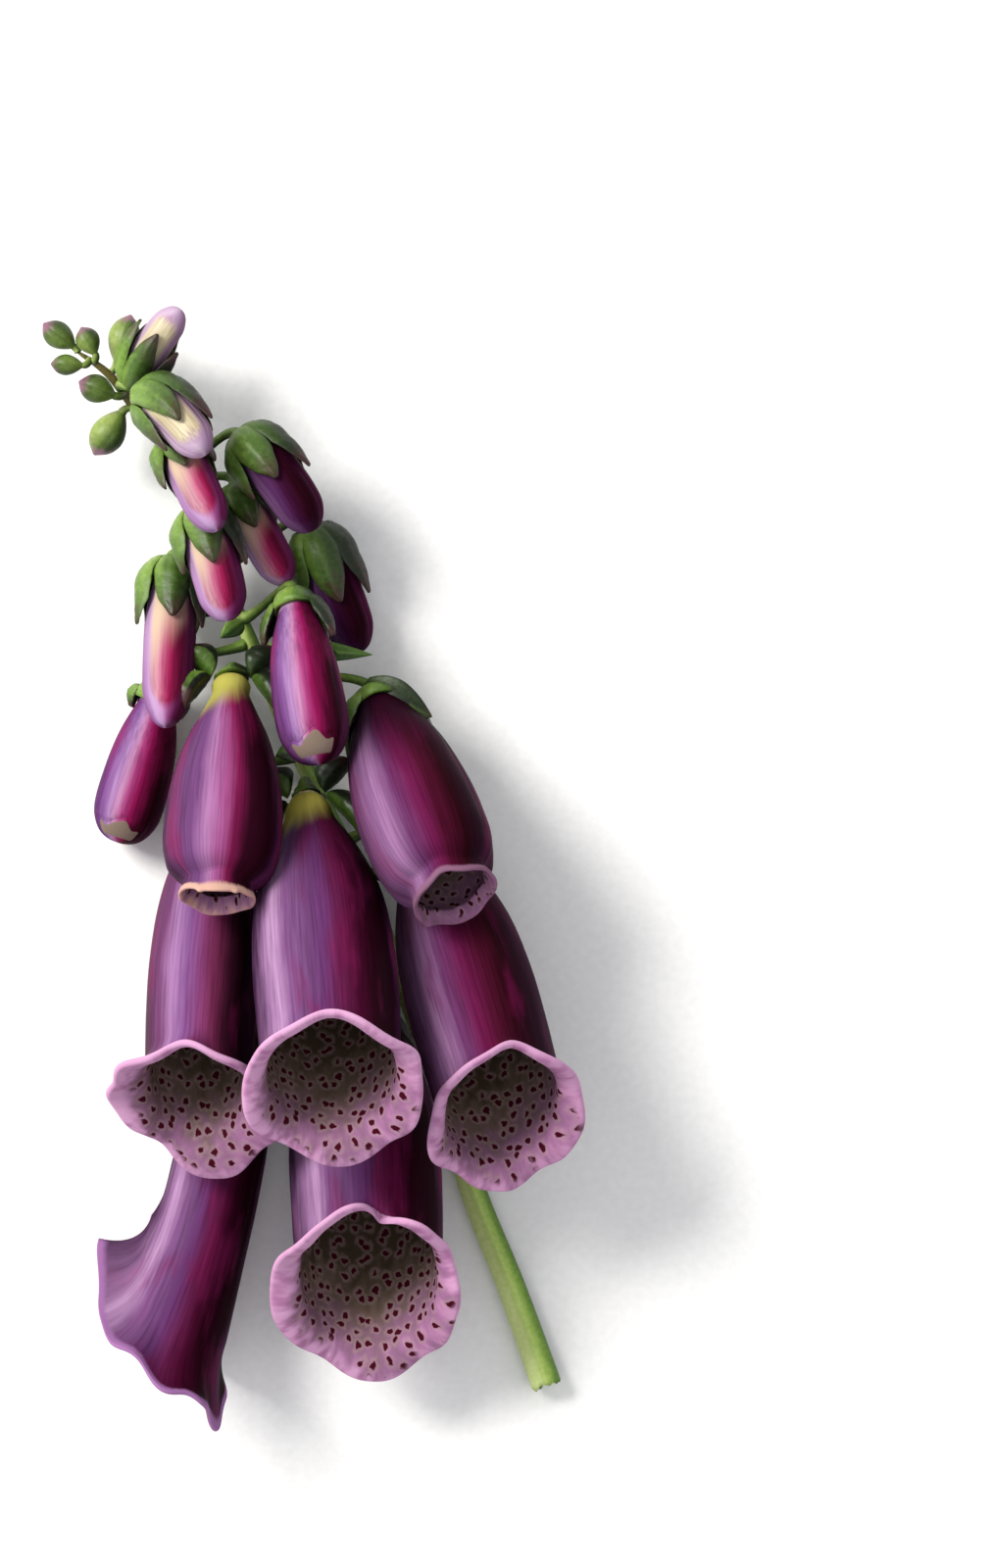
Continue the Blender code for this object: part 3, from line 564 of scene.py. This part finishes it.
def bud(flower, columns=120, rows=84):
    """Radius: the profile's curve times a rounded end, creased at the folds. The zone's first number is
    -1 in the middle of the upper petal and 0 from its fold outwards; on a club it is -1 except in the slit
    between the lips."""
    axis = Axis(flower.path, flower.up)
    angle = turns(columns)
    club = flower.kind == "club"
    u = 1 - (1 - np.linspace(0, 1, rows + 2)[1:-1, None]) ** 1.5
    stations, radii = PROFILES[flower.kind]
    cap = 0.84 if club else 0.74
    end = (1 - (np.clip(u - cap, 0, None) / (1 - cap)) ** 2.2) ** (1 / 2.2)
    radius = through(u, stations, radii[:-1] + (radii[-2],)) * flower.tube * end
    turned = (angle + pi) % (2 * pi) - pi
    off_middle = np.abs(turned)
    crease = (np.exp(-((off_middle - UPPER_FOLD) / 0.1) ** 2)
              + 0.6 * np.exp(-((off_middle - LOWER_FOLD) / 0.12) ** 2))
    radius = radius * (1 - 0.05 * rise((u - 0.2) / 0.4) * crease)
    distance = u * axis.length + 0 * angle
    if club:
        lips = 0.87 - 0.022 * np.cos(3 * turned) - 0.016 * np.cos(7 * turned) + 0.005 * np.sin(13 * turned)
        facing = rise((1 - np.abs(turned - 0.15)) / 0.25)
        slit = np.exp(-((u - lips) / 0.014) ** 2) * facing
        radius = radius - 0.2 * slit
        patch = facing * rise((u - lips) / 0.03) * (1 - rise((u - 0.955) / 0.035))
        panel, to_rim = 0.78 * slit - 1, CLUB_END * (1 - patch)
    else:
        middle = np.hypot(off_middle / UPPER_FOLD, 0.95 * rise((u - 0.7) / 0.3))
        panel, to_rim = np.clip(middle, 0, 1) - 1, axis.length - distance
    around = angle + 0 * distance
    values = petal_values(flower, axis, (panel, u, to_rim), around, radius, distance, distance)
    return shell(axis.around(distance, radius, around), values, axis.frame([0, axis.length])[0])


# %% Bud colours, and grow the buds
# Each ramp runs from the left side of the spike to the right: the buds' own colours with a painted highlight
# towards the left and painted shade towards the right
CLUB_SAP_AND_PAINTED_LIGHT = {0: "4A2046", 0.12: "744882", 0.24: "9C76A6", 0.36: "B47EA4", 0.46: "A04078",
            0.58: "8A1650", 0.7: "4C0C28", 0.86: "2A0714", 1: "5A2A4A"}
PINK_SAP_AND_PAINTED_LIGHT = {0: "7E4468", 0.26: "C08C98", 0.42: "B65C7C", 0.56: "96204E", 0.74: "560E2C", 1: "5A2040"}
DARK_SAP_AND_PAINTED_LIGHT = {0: "4A2848", 0.14: "5E3A64", 0.26: "502A54", 0.4: "3C1234", 0.6: "2A0716",
            0.85: "1C050E", 1: "4A1030"}
CREAM_SAP_AND_PAINTED_LIGHT = {0: "A0906E", 0.3: "D8CFAE", 0.55: "C9BC98", 0.75: "A89684", 1: "6E5A5C"}
LILAC_EDGE_AND_PAINTED_LIGHT = {0: "7E5284", 0.18: "B090BA", 0.4: "B48AB6", 0.58: "8C4A80", 0.78: "5E1E48", 1: "46183A"}
PALE_EDGE_AND_PAINTED_LIGHT = {0: "A080A0", 0.3: "C4AEC2", 0.6: "A082A0", 1: "6A4A64"}
DARK_EDGE_AND_PAINTED_LIGHT = {0: "4A2A4C", 0.2: "644468", 0.4: "3E1A3C", 0.75: "200814", 1: "4A1638"}
bud_petals = {
    # a club's edge colours are dark brown: painted shade in the slit between its lips
    "club": petal("club_petal", CLUB_SAP_AND_PAINTED_LIGHT, "B494A4", 0.06, "8E1850", "7C6C60", 3,
                  edge={0: "3A1C20", 1: "3A1C20"}),
    "bud_pink": petal("pink_bud_petal", PINK_SAP_AND_PAINTED_LIGHT, "C2AA92", 0.42, "8E1E48", "B48CB2", 0.8, edge=LILAC_EDGE_AND_PAINTED_LIGHT),
    "bud_aubergine": petal("aubergine_petal", DARK_SAP_AND_PAINTED_LIGHT, "2A1020", 0.1, "3E0A28", "5A2A4C", 0.6,
                           edge=DARK_EDGE_AND_PAINTED_LIGHT),
    "bud_cream": petal("cream_bud_petal", CREAM_SAP_AND_PAINTED_LIGHT, "D4D0A0", 0.3, "C4A498", "A884A6", 2.6, edge=PALE_EDGE_AND_PAINTED_LIGHT),
}
bud_slots = {"bud_1": "petal_purple", "bud_2": "petal_purple", "bud_4": "bud_aubergine",
             "bud_7": "bud_aubergine", "bud_9": "bud_cream", "bud_10": "bud_cream"}
for flower in BUDS:
    slot = bud_slots.get(flower.name, "bud_pink")
    grow(flower.name + "_petals", [bud(flower)], bud_petals.get(slot, bud_petals["club"]),
         flower.name + "_corolla")
print(len(BUDS), "buds grown")

# %% [markdown]
# ## Green parts
# Sepals, stalks, bracts and the stem are living leaf tissue: waxy green, lighter along the veins, with a
# brown-purple flush at the tips. Their green is also painted lighter on the side that faces the upper left
# and darker on the other side, as painted light and shade. One function makes their materials. They read
# `leaf` (place across, place along, share of painted light) and `round`, as the petals do.

# %% Green material
LEAF_ROUGHNESS = 0.36
GRAIN, FLECK = (1.6, 1.6, 0.22), (0.5, 0.5, 0.3)     # per mm


def green(name, painted_light_tones, flush):
    """Living leaf, waxy. tones: colours from painted shade to painted light; flush: colour towards the tip.
    """
    material, add, surface = new_material(name, IOR=1.45, Specular_IOR_Level=0.4)
    leaf, around = (add("Attribute", {}, 1, attribute_name=key) for key in ("leaf", "round"))
    across, along, light = add("SeparateXYZ", [leaf]).node.outputs
    grain, fleck = (
        add("TexNoise", {"Scale": 1, "Detail": 3, "Roughness": rough, "Vector": add(
            "VectorMath", [around, stretch])})
        for rough, stretch in ((0.6, GRAIN), (0.7, FLECK)))
    vein = add("Math", [across, 9.5], operation="MULTIPLY")
    vein = add("Math", [vein], operation="COSINE")
    # painted light: the tone follows the light share, lightest on the side that faces the upper left
    tone = add("Math", [light, 0.84, -0.02])
    for amount, share in ((grain, 0.26), (vein, 0.022), (along, -0.32)):
        tone = add("Math", [amount, share, tone])
    colour = add("ValToRGB", [tone], ramp=painted_light_tones)
    reach = add("Math", [fleck, 0.7, along])
    flushed = add("MapRange", [reach, 1.02, 1.38, 0, 0.8])
    relief = add("Math", [vein, 0.25, grain])
    surface(Base_Color=add("Mix", {0: flushed, 6: colour, 7: flush}, 2),
            Normal=add("Bump", {"Height": relief, "Strength": 0.45, "Distance": 0.00015}),
            Roughness=add("MapRange", [grain, 0.3, 0.7, LEAF_ROUGHNESS, LEAF_ROUGHNESS + 0.16], **LINEAR))
    return material


# %% Greens
PAINTED_LIGHT_SIDE = unit(np.array((-0.8, 0.3, 0.52)))     # painted light: green parts are painted lightest where they face this way, and painted shade opposite
sepal_green = green("sepal_green", {
    0: "080E03", 0.32: "14200A", 0.5: "2E4414", 0.66: "486422", 0.82: "708E3A", 1: "A6BA6C"}, "3E1E20")
stem_green = green("stem_green_leafy", {
    0: "16260A", 0.3: "42661C", 0.5: "76983A", 0.7: "A4BE5C", 1: "D4DE9C"}, "5A4026")
young_green = green("young_green_leafy", {
    0: "141E08", 0.35: "304216", 0.58: "586E2C", 0.78: "86984C", 1: "B8C284"}, "8E5A78")
bract_green = green("bract_green_leafy", {
    0: "121E08", 0.3: "32501A", 0.55: "5E8432", 0.78: "90AE54", 1: "C0CE8C"}, "4A4A22")


def leaf_values(across, along, points):
    """The attributes of a green part: leaf coordinates, a share of painted light from the direction in
    which each point stands off the middle of its own row, lighter towards the upper left and painted shade
    opposite, and the point itself in mm for the grain."""
    off = points - points.mean(axis=1, keepdims=True)
    off /= np.linalg.norm(off, axis=-1, keepdims=True) + 1e-9
    light = 0.5 + 0.5 * off @ PAINTED_LIGHT_SIDE
    return {"leaf": np.stack(np.broadcast_arrays(across, along, light), axis=-1), "round": points}


# %% [markdown]
# ## Stem
# The cut stem is a ridged rod that tapers to the growing tip, with a torn end where it was broken off. A
# profile carried along the path keeps its ridges running the whole way.

# %% Stem surface
STEM_COLUMNS, STEM_ROWS, TIP_ROWS = 40, 260, 12
TORN_LENGTH = 1.6     # how much of the cut end is ragged, mm


def carried(centres, radius, angle, up=UP):
    """Rings around a path, whose top is the up direction made square to the path."""
    heading = unit(np.gradient(centres, axis=0))
    top = square_to(heading, np.array(up, float))
    side = np.cross(heading, top)
    return off_centre(centres[:, None], top[:, None], side[:, None], radius, angle)


def stem_centre(along):
    """Centre of the stem at places along +Y."""
    path = np.array(STEM_PATH, float)
    return np.stack([through(along, path[:, 1], path[:, 0]), along,
                     through(along, path[:, 1], path[:, 2])], axis=-1)


def stem_radius(along):
    """Radius of the stem at places along +Y, from its cut end to its tip."""
    return np.interp(along, (STEM_PATH[0][1], STEM_PATH[-1][1]), (STEM_RADIUS_CUT, STEM_RADIUS_TIP))


# %% Grow the stem
along = np.linspace(STEM_PATH[0][1], STEM_PATH[-1][1], STEM_ROWS)
angle = turns(STEM_COLUMNS)
radius = stem_radius(along)[:, None] * (1 + 0.05 * np.cos(5 * angle) + 0.02 * np.cos(11 * angle + 1))
radius[-TIP_ROWS:] *= np.sqrt(1 - np.linspace(0, 0.95, TIP_ROWS) ** 2)[:, None]
rings = carried(stem_centre(along), radius, angle)
torn = np.clip(1 - (along - along[0]) / TORN_LENGTH, 0, 1)[:, None]
heading = unit(stem_centre(along[1]) - stem_centre(along[0]))
rings = rings - (torn * (0.55 + 0.75 * wobble(angle, 7, (4, 7, 11))))[..., None] * heading
middle = rings[0].mean(axis=0)
rings = np.concatenate([(rings[:1] - middle) * scale + middle + lift * heading
                        for scale, lift in ((0.5, 0.5), (0.86, 0.2))] + [rings])
ends = [rings[0].mean(axis=0) + 0.1 * heading, stem_centre(along[-1])]
length_share = (along - along[0]) / (along[-1] - along[0])
length_share = 0.2 * length_share + 0.8 * rise((length_share - 0.76) / 0.2)
length_share = np.concatenate([[0, 0], length_share])[:, None]
stem = shell(rings, leaf_values(angle / 3 + 0 * length_share, length_share, rings), ends)
grow("main_stem", [stem], stem_green, "stem")
print("stem:", len(stem[1]), "faces")

# %% [markdown]
# ## Calyces
# Under each flower a short stalk widens into a cup, and five pointed sepals stand on its edge. They could
# be cut out of one cone, but real sepals overlap like tiles, so each is its own shell, crowned across and
# curved to its flower, or spread open where the flower has pushed it back.

# %% Sepals with a pose of their own
SEPAL_THICKNESS = 0.7
FLOWER_GAP = 0.35
SEPAL_LIFTS = (0, 0.28, 0.05, 0.33, 0.16)    # mm off the cup, so that neighbours overlap like tiles
SEPAL_ROWS = 28
PLUMP = 5.2           # a plump sepal's thickness for each millimetre of a plain one's
# each sepal that doesn't simply hug its flower: middle from the upper lip and turn-back in degrees,
# then length and half width in mm
Sepal = namedtuple("Sepal", "middle spread reach half_width plump", defaults=(False,))
LONG_SEPALS = {"bud_9": 10.2, "bud_8": 7.2}
POSED_SEPALS = {name: [Sepal(*row) for row in rows] for name, rows in {
    "bell_3": ((35, 35, 8, 2.6), (-60, 150, 9, 2.6), (108, 20, 8, 2.6), (180, 10, 8, 2.6), (252, 20, 8, 2.6)),
    "bell_4": ((80, 150, 5.2, 1.9, True), (-74, 140, 5.8, 2.2, True), (-88, 34, 9.5, 2.3, True),
               (100, 30, 6, 1.9, True), (180, 30, 7, 2.1)),
    "bell_6": ((50, 30, 6, 2.2), (108, 20, 8, 2.5), (180, 20, 8, 2.5), (252, 15, 8, 2.5)),
    "bell_7": ((72, 138, 5.6, 2.2, True), (-72, 138, 5.6, 2.2, True), (80, 34, 6.2, 2.2, True),
               (-80, 34, 6.2, 2.2, True), (180, 40, 6, 1.9)),
    "bud_1": [(middle, 8, 3.4, 1.3) for middle in (-100, 100, 140, 180, 220)],
    "bud_2": ((-72, 20, 7, 1.8), (95, 25, 6, 1.9), (140, 10, 7, 1.9), (180, 10, 7, 1.9), (230, 10, 7, 1.9)),
}.items()}
# a sepal that lies beside its flower like a leaf: root, tip and half width
LEAFY_SEPALS = {"bell_6": ((7.2, 24.2, 13.4), (16.4, 19.8, 14.6), 2.7)}

# %% Stalk and cup
def corolla_radius(flower, axis, distance):
    """The design's radius at a distance along the corolla, mm."""
    length = axis.length - flower.lip / 2
    stations, radii = PROFILES[flower.kind]
    return through(np.clip(distance / length, 0, 1), stations, radii) * flower.tube


def stalk_and_cup(flower, axis):
    """A Bezier stalk from the stem's side to the flower's foot, widening into a cup whose rim turns
    in and closes on its floor."""
    floor, under = -0.35, -1.55
    depth = 0.1 if flower.name in ("bell_4", "bell_7") else 1.8
    foot, tangent, _, _ = axis.frame(np.array(under))
    before, root, after = (stem_centre(np.array(flower.root + step)) for step in (-1, 0, 1))
    away = square_to(unit(after - before), foot - root)
    root = root + away * (stem_radius(flower.root) - 0.15)
    span = np.linalg.norm(foot - root)
    near, far = root + away * span * 0.35, foot - tangent * span * 0.25
    t = np.linspace(0, 1, 26)[:-1, None]
    route = (1 - t) ** 3 * root + 3 * (1 - t) ** 2 * t * near + 3 * (1 - t) * t ** 2 * far + t ** 3 * foot
    angle = turns(32)
    wide = corolla_radius(flower, axis, 0) + FLOWER_GAP + SEPAL_THICKNESS
    thin = (0.58 + 0.35 * np.abs(2 * t - 1) ** 3) * (1 + 0.04 * np.cos(5 * angle))
    stalk = carried(route, thin, angle, flower.up)
    steps = np.array((under, under + 0.35, floor - 0.3, floor + 0.4,
                      depth / 2 + 0.05, depth, depth, depth / 3, floor))[:, None]
    widths = np.array([0.95, wide * 0.62, wide * 0.86, wide] + [
        corolla_radius(flower, axis, max(step, 0)) + FLOWER_GAP + side for step, side in
        zip(steps[4:, 0], (SEPAL_THICKNESS, SEPAL_THICKNESS * 0.8, 0, 0, 0))])[:, None]
    cup = axis.around(steps + 0 * angle, widths * (1 + 0.02 * np.cos(5 * angle)), angle + 0 * steps)
    rings = np.concatenate([stalk, cup])
    along = np.linspace(0, 0.35, len(rings))[:, None]
    return shell(rings, leaf_values(angle / 3 + 0 * along, along, rings), (route[0], axis.frame(floor)[0]))


# %% One sepal, and five round a flower
def sepal(flower, axis, shape, above, seed):
    """Across: x from -1 to 1 and back, on a lens whose outer side is crowned. Along: t from the cup to
    the tip. The middle line follows the flower, or a dome over a bud's shoulders, and lifts by its
    flare; a posed sepal turns back by its spread instead."""
    section = turns(32)
    x, outward = np.cos(section), np.sin(section)
    t = np.linspace(0, 1, SEPAL_ROWS + 2)[1:-1, None]
    posed = shape.spread is not None
    oval = np.sqrt(4 * t * (1 - t))
    width = shape.half_width * (oval if shape.plump else through(
        t, (0, 0.1, 0.32, 0.58, 0.84, 1), (0.66, 0.86, 1, 0.88, 0.46, 0.05)))
    if posed:
        bend = radians(shape.spread) * (0.8 + 0.2 * t if shape.plump else rise(t / 0.55))
        step = shape.reach / len(t)
        distance = 0.5 + np.cumsum(np.cos(bend), axis=0) * step
        radius = corolla_radius(flower, axis, 0.6) + FLOWER_GAP + 0.3 + np.cumsum(np.sin(bend), axis=0) * step
    else:
        bend = 0 * t
        start = -1.25 if flower.mouth == 0 else -0.3
        distance = start + t * (shape.reach - start)
        dome = np.sqrt(1 - (1 - np.clip((distance + 1.6) / 4.6, 0, 1)) ** 2) * (flower.tube + 0.1)
        hugged = corolla_radius(flower, axis, distance) + FLOWER_GAP
        radius = np.maximum(hugged, dome) if flower.mouth == 0 else hugged
        radius = radius + 0.4 * flower.flare * t ** 3
    thick = SEPAL_THICKNESS * (0.5 + 0.5 * np.sin(pi * t ** 0.8)) * (2.2 if posed else 1)
    if shape.plump:
        thick = PLUMP * SEPAL_THICKNESS * oval
    lift = thick * (0.5 + 0.5 * outward) + (0.25 if posed else 0.45) * (1 - x * x) * np.sin(pi * t) ** 0.7
    keel = 0.13 * np.exp(-(x / 0.16) ** 2) * (outward > 0) * (1 - t)
    lift = lift + keel + above + 0.08 * wobble(t * 7 + x, seed)
    turned = radians(shape.middle) + 0.05 * wobble(t * 2, seed) + (x * width) / np.maximum(
        radius + lift * np.cos(bend), 1.4)
    points = axis.around(distance - lift * np.sin(bend) + 0 * x, radius + lift * np.cos(bend), turned)
    middles = points.mean(axis=1)
    _, tangent, top, side = axis.frame(distance)
    normal = off_centre(-tangent * np.sin(bend)[..., None], top, side, np.cos(bend), turned)
    # painted light and shade: lighter where the sepal's face turns towards the upper left, darker away from
    # it
    light = 0.5 + 0.5 * (normal * np.sign(outward + 0.01)[:, None]) @ PAINTED_LIGHT_SIDE
    values = {"leaf": np.stack(np.broadcast_arrays(x, 0.22 + 0.78 * t, light), axis=-1), "round": points}
    return shell(points, values, (middles[0], middles[-1] * 1.5 - middles[-2] * 0.5))


def sepals(flower, axis, seed):
    """Five sepals: the posed ones where the flower has them, or five evenly round that hug it."""
    rng = np.random.default_rng(seed)
    shapes = POSED_SEPALS.get(flower.name)
    if not shapes:
        half_width = 2.75 if flower.mouth else 0.74 * flower.tube + 0.15
        reach = LONG_SEPALS.get(flower.name, flower.calyx)
        shapes = [Sepal(middle + rng.uniform(-4, 4), None, reach * rng.uniform(0.98, 1.16), half_width)
                  for middle in (0, 72, 144, 216, 288)]
    return [sepal(flower, axis, shape, SEPAL_LIFTS[k] * (shape.spread is None), seed + k)
            for k, shape in enumerate(shapes)]


# %% Leaf blades, and grow the calyces
def leaf_blade(root, tip, half_width, columns=24, rows=30):
    """A lens carried along a bow from root to tip, folded a little along the middle."""
    root, tip = np.array(root, float), np.array(tip, float)
    t = np.linspace(0, 1, rows + 2)[1:-1, None]
    span = tip - root
    centre = root + t * span + np.array((0, 0, 0.1 * np.linalg.norm(span))) * np.sin(pi * t)
    side = unit(np.cross(span, UP))
    over = unit(np.cross(side, span))
    section = turns(columns)
    x = np.cos(section)
    width = half_width * through(t, (0, 0.15, 0.4, 0.75, 1), (0.35, 0.75, 1, 0.62, 0.04))
    height = 0.22 * np.sin(section) + 0.45 * np.abs(x) * width / half_width
    points = centre[:, None] + (x * width)[..., None] * side + height[..., None] * over
    return shell(points, leaf_values(x + 0 * t, 0.2 + 0.6 * t + 0 * x, points), (root, tip))


for number, flower in enumerate(BELLS + BUDS):
    axis = Axis(flower.path, flower.up)
    shells = [stalk_and_cup(flower, axis)] + sepals(flower, axis, 100 * number)
    if flower.name in LEAFY_SEPALS:
        shells.append(leaf_blade(*LEAFY_SEPALS[flower.name]))
    grow(flower.name + "_sepals", shells, sepal_green, flower.name + "_calyx")
print(len(BELLS + BUDS), "calyces grown")

# %% [markdown]
# ## Youngest buds and bracts
# At the tip the buds are still wrapped in their sepals, so each is a small ribbed egg, flushed at its
# point. A bract is one small pointed leaf, folded along its midrib.

# %% Tip buds and bracts
# in order: base, tip and half width of each tip bud, and root, tip and half width of each bract, mm
TIP_BUDS = [
    ((-25.2, 60.6, 9.6), (-29, 55, 8.5), 2.3),
    ((-26.2, 62.8, 11.9), (-30.8, 64.6, 13), 1.9),
    ((-25.8, 67.4, 9.8), (-24, 73.7, 9.4), 2.1),
    ((-28.7, 68.4, 11.9), (-30.5, 71.9, 12.4), 1.6),
    ((-30.4, 66.8, 11.9), (-34.6, 67, 12.2), 1.4),
    ((-31.6, 69.4, 11), (-35.6, 72.4, 12), 1.8),
]
BRACTS = [
    ((-1.9, 15.6, 5.4), (-4.6, 14.6, 9), 1.5),
    ((-9.2, 32.6, 7.4), (-12, 30.4, 11.2), 1.3),
    ((-6.1, 29.2, 5.6), (8.4, 28.2, 8.8), 1.6),
    ((-11.9, 35.6, 6.2), (-15.4, 33.4, 5), 1.2),
    ((8, -1.3, 2.2), (13.2, 0.4, 1.8), 1.6),
]
TIP_STALK = 0.5       # radius of such a bud's stalk where it leaves the stem, mm


def tip_bud(base, tip, half_width, columns=60, rows=44):
    """A stalk bowed from the stem to the base, then a spindle: radius is half width times a curve that
    is widest past its middle, creased where the sepals meet."""
    base, tip = np.array(base, float), np.array(tip, float)
    stem_line = stem_centre(np.linspace(56, 68.6, 80))
    below = np.abs(stem_line[:, 1] - base[1] + 2)
    root = stem_line[np.argmin(np.linalg.norm(stem_line - base, axis=1) + 0.35 * below)]
    s = np.linspace(0, 1, 16)[:-1, None]
    bow = base - 0.5 * np.linalg.norm(base - root) * unit(tip - base)
    stalk = (1 - s) ** 2 * root + 2 * s * (1 - s) * bow + s ** 2 * base
    t = (0.5 - 0.5 * np.cos(pi * np.linspace(0, 1, rows + 1)[:-1]))[:, None]
    angle = turns(columns)
    seam = np.abs(np.sin(1.5 * angle + 0.5))
    radius = half_width * through(t, (0, 0.12, 0.35, 0.62, 0.85, 1), (0.26, 0.55, 0.93, 1, 0.64, 0.08))
    radius = radius * (1 - (0.03 + 0.16 * t) * (1 - seam ** 0.45))
    centres = np.concatenate([stalk, base + t * (tip - base)])
    stalk_radius = TIP_STALK + (0.3 * half_width - TIP_STALK) * s ** 4
    radii = np.concatenate([stalk_radius + 0 * angle, radius])
    rings = carried(centres, radii, angle)
    along = np.concatenate([0 * s + 0.2, 0.3 + 0.75 * t ** 2])
    return shell(rings, leaf_values(angle / 3, along, rings), (root, tip))


for number, row in enumerate(TIP_BUDS, 1):
    grow(f"tip_bud_{number}_wrapped", [tip_bud(*row)], young_green, f"tip_bud_{number}")
for number, row in enumerate(BRACTS, 1):
    grow(f"bract_{number}_leaf", [leaf_blade(*row)], bract_green, f"bract_{number}")
print(len(TIP_BUDS), "youngest buds and", len(BRACTS), "bracts")

# %% [markdown]
# ## Inside the bells
# The pistil and the stamens keep the shapes of the CAD model; they only need their waxy cream surfaces.

# %% Pistils and stamens
cream, add, surface = new_material("waxy_cream", IOR=1.43, Roughness=0.45)
speckle = add("TexNoise", {"Vector": add("TexCoord", {}, 3), "Scale": 1400, "Detail": 3})
surface(Base_Color=add("ValToRGB", [speckle], ramp={0.3: "B79A62", 0.5: "E2CF9C", 0.75: "F5ECCB"}),
        Normal=add("Bump", {"Height": speckle, "Strength": 0.4, "Distance": 0.0001}))
for flower in BELLS:
    for part in ("_pistil", "_stamens"):
        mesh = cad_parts[flower.name + part].data
        mesh.materials.clear()
        mesh.materials.append(cream)
print("pistils and stamens finished:", 2 * len(BELLS))

# %% [markdown]
# ## Floor, light and camera
# The spike lies on a pale studio table. A large soft light at the upper left models the bells, and a weak
# sky keeps the shaded sides readable. The camera looks straight down through a long lens, so the flowers
# keep their proportions.

# %% Floor
floor_mesh = bpy.data.meshes.new("studio_floor")
HALF_FLOOR = 1.2      # m
floor_mesh.from_pydata([(x * HALF_FLOOR, y * HALF_FLOOR, 0) for x, y in ((-1, -1), (1, -1), (1, 1), (-1, 1))],
                       [], [(0, 1, 2, 3)])
floor = put("studio_floor", floor_mesh)
paper, add, surface = new_material("matt_paper", Roughness=0.9)
fibre = add("TexNoise", {"Vector": add("TexCoord", {}, 3), "Scale": 900, "Detail": 4})
surface(Base_Color=add("ValToRGB", [fibre], ramp={0.2: "F1F1EF", 0.8: "FAFAF8"}))
floor_mesh.materials.append(paper)

# %% Lights
MIDDLE_HEIGHT = 0.02      # m, half way up the spike


def area_light(name, place, energy, size, colour):
    """A square light that faces the spike's middle."""
    lamp = bpy.data.lights.new(name, "AREA")
    lamp.energy, lamp.size, lamp.color = energy, size, linear(colour)[:3]
    lamp_object = put(name, lamp)
    lamp_object.location = place
    direction = Vector((0, 0, MIDDLE_HEIGHT)) - Vector(place)
    lamp_object.rotation_euler = direction.to_track_quat("-Z", "Y").to_euler()


area_light("key_light", (-0.62, 0.42, 0.7), 12.5, 0.4, "FFFDF8")
area_light("fill_light", (0.2, -0.3, 1.2), 2, 0.9, "F8F6FF")
world = bpy.data.worlds.new("studio")
world.use_nodes = True
sky = world.node_tree.nodes["Background"]
sky.inputs["Color"].default_value = linear("F6F7FA")
sky.inputs["Strength"].default_value = 0.66
bpy.context.scene.world = world
bpy.context.scene.view_settings.view_transform = "Standard"     # keeps the deep sap colours and the painted shade deep

# %% Camera
LENS, SENSOR = 200, 36     # mm
PICTURE_MIDDLE, PICTURE_SIDE = (0.0247, 0.011), 0.208     # m, on a level with the spike's middle
camera = put("camera", bpy.data.cameras.new("camera"))
camera.data.lens, camera.data.sensor_width = LENS, SENSOR
camera.location = (*PICTURE_MIDDLE, MIDDLE_HEIGHT + PICTURE_SIDE * LENS / SENSOR)
bpy.context.scene.camera = camera
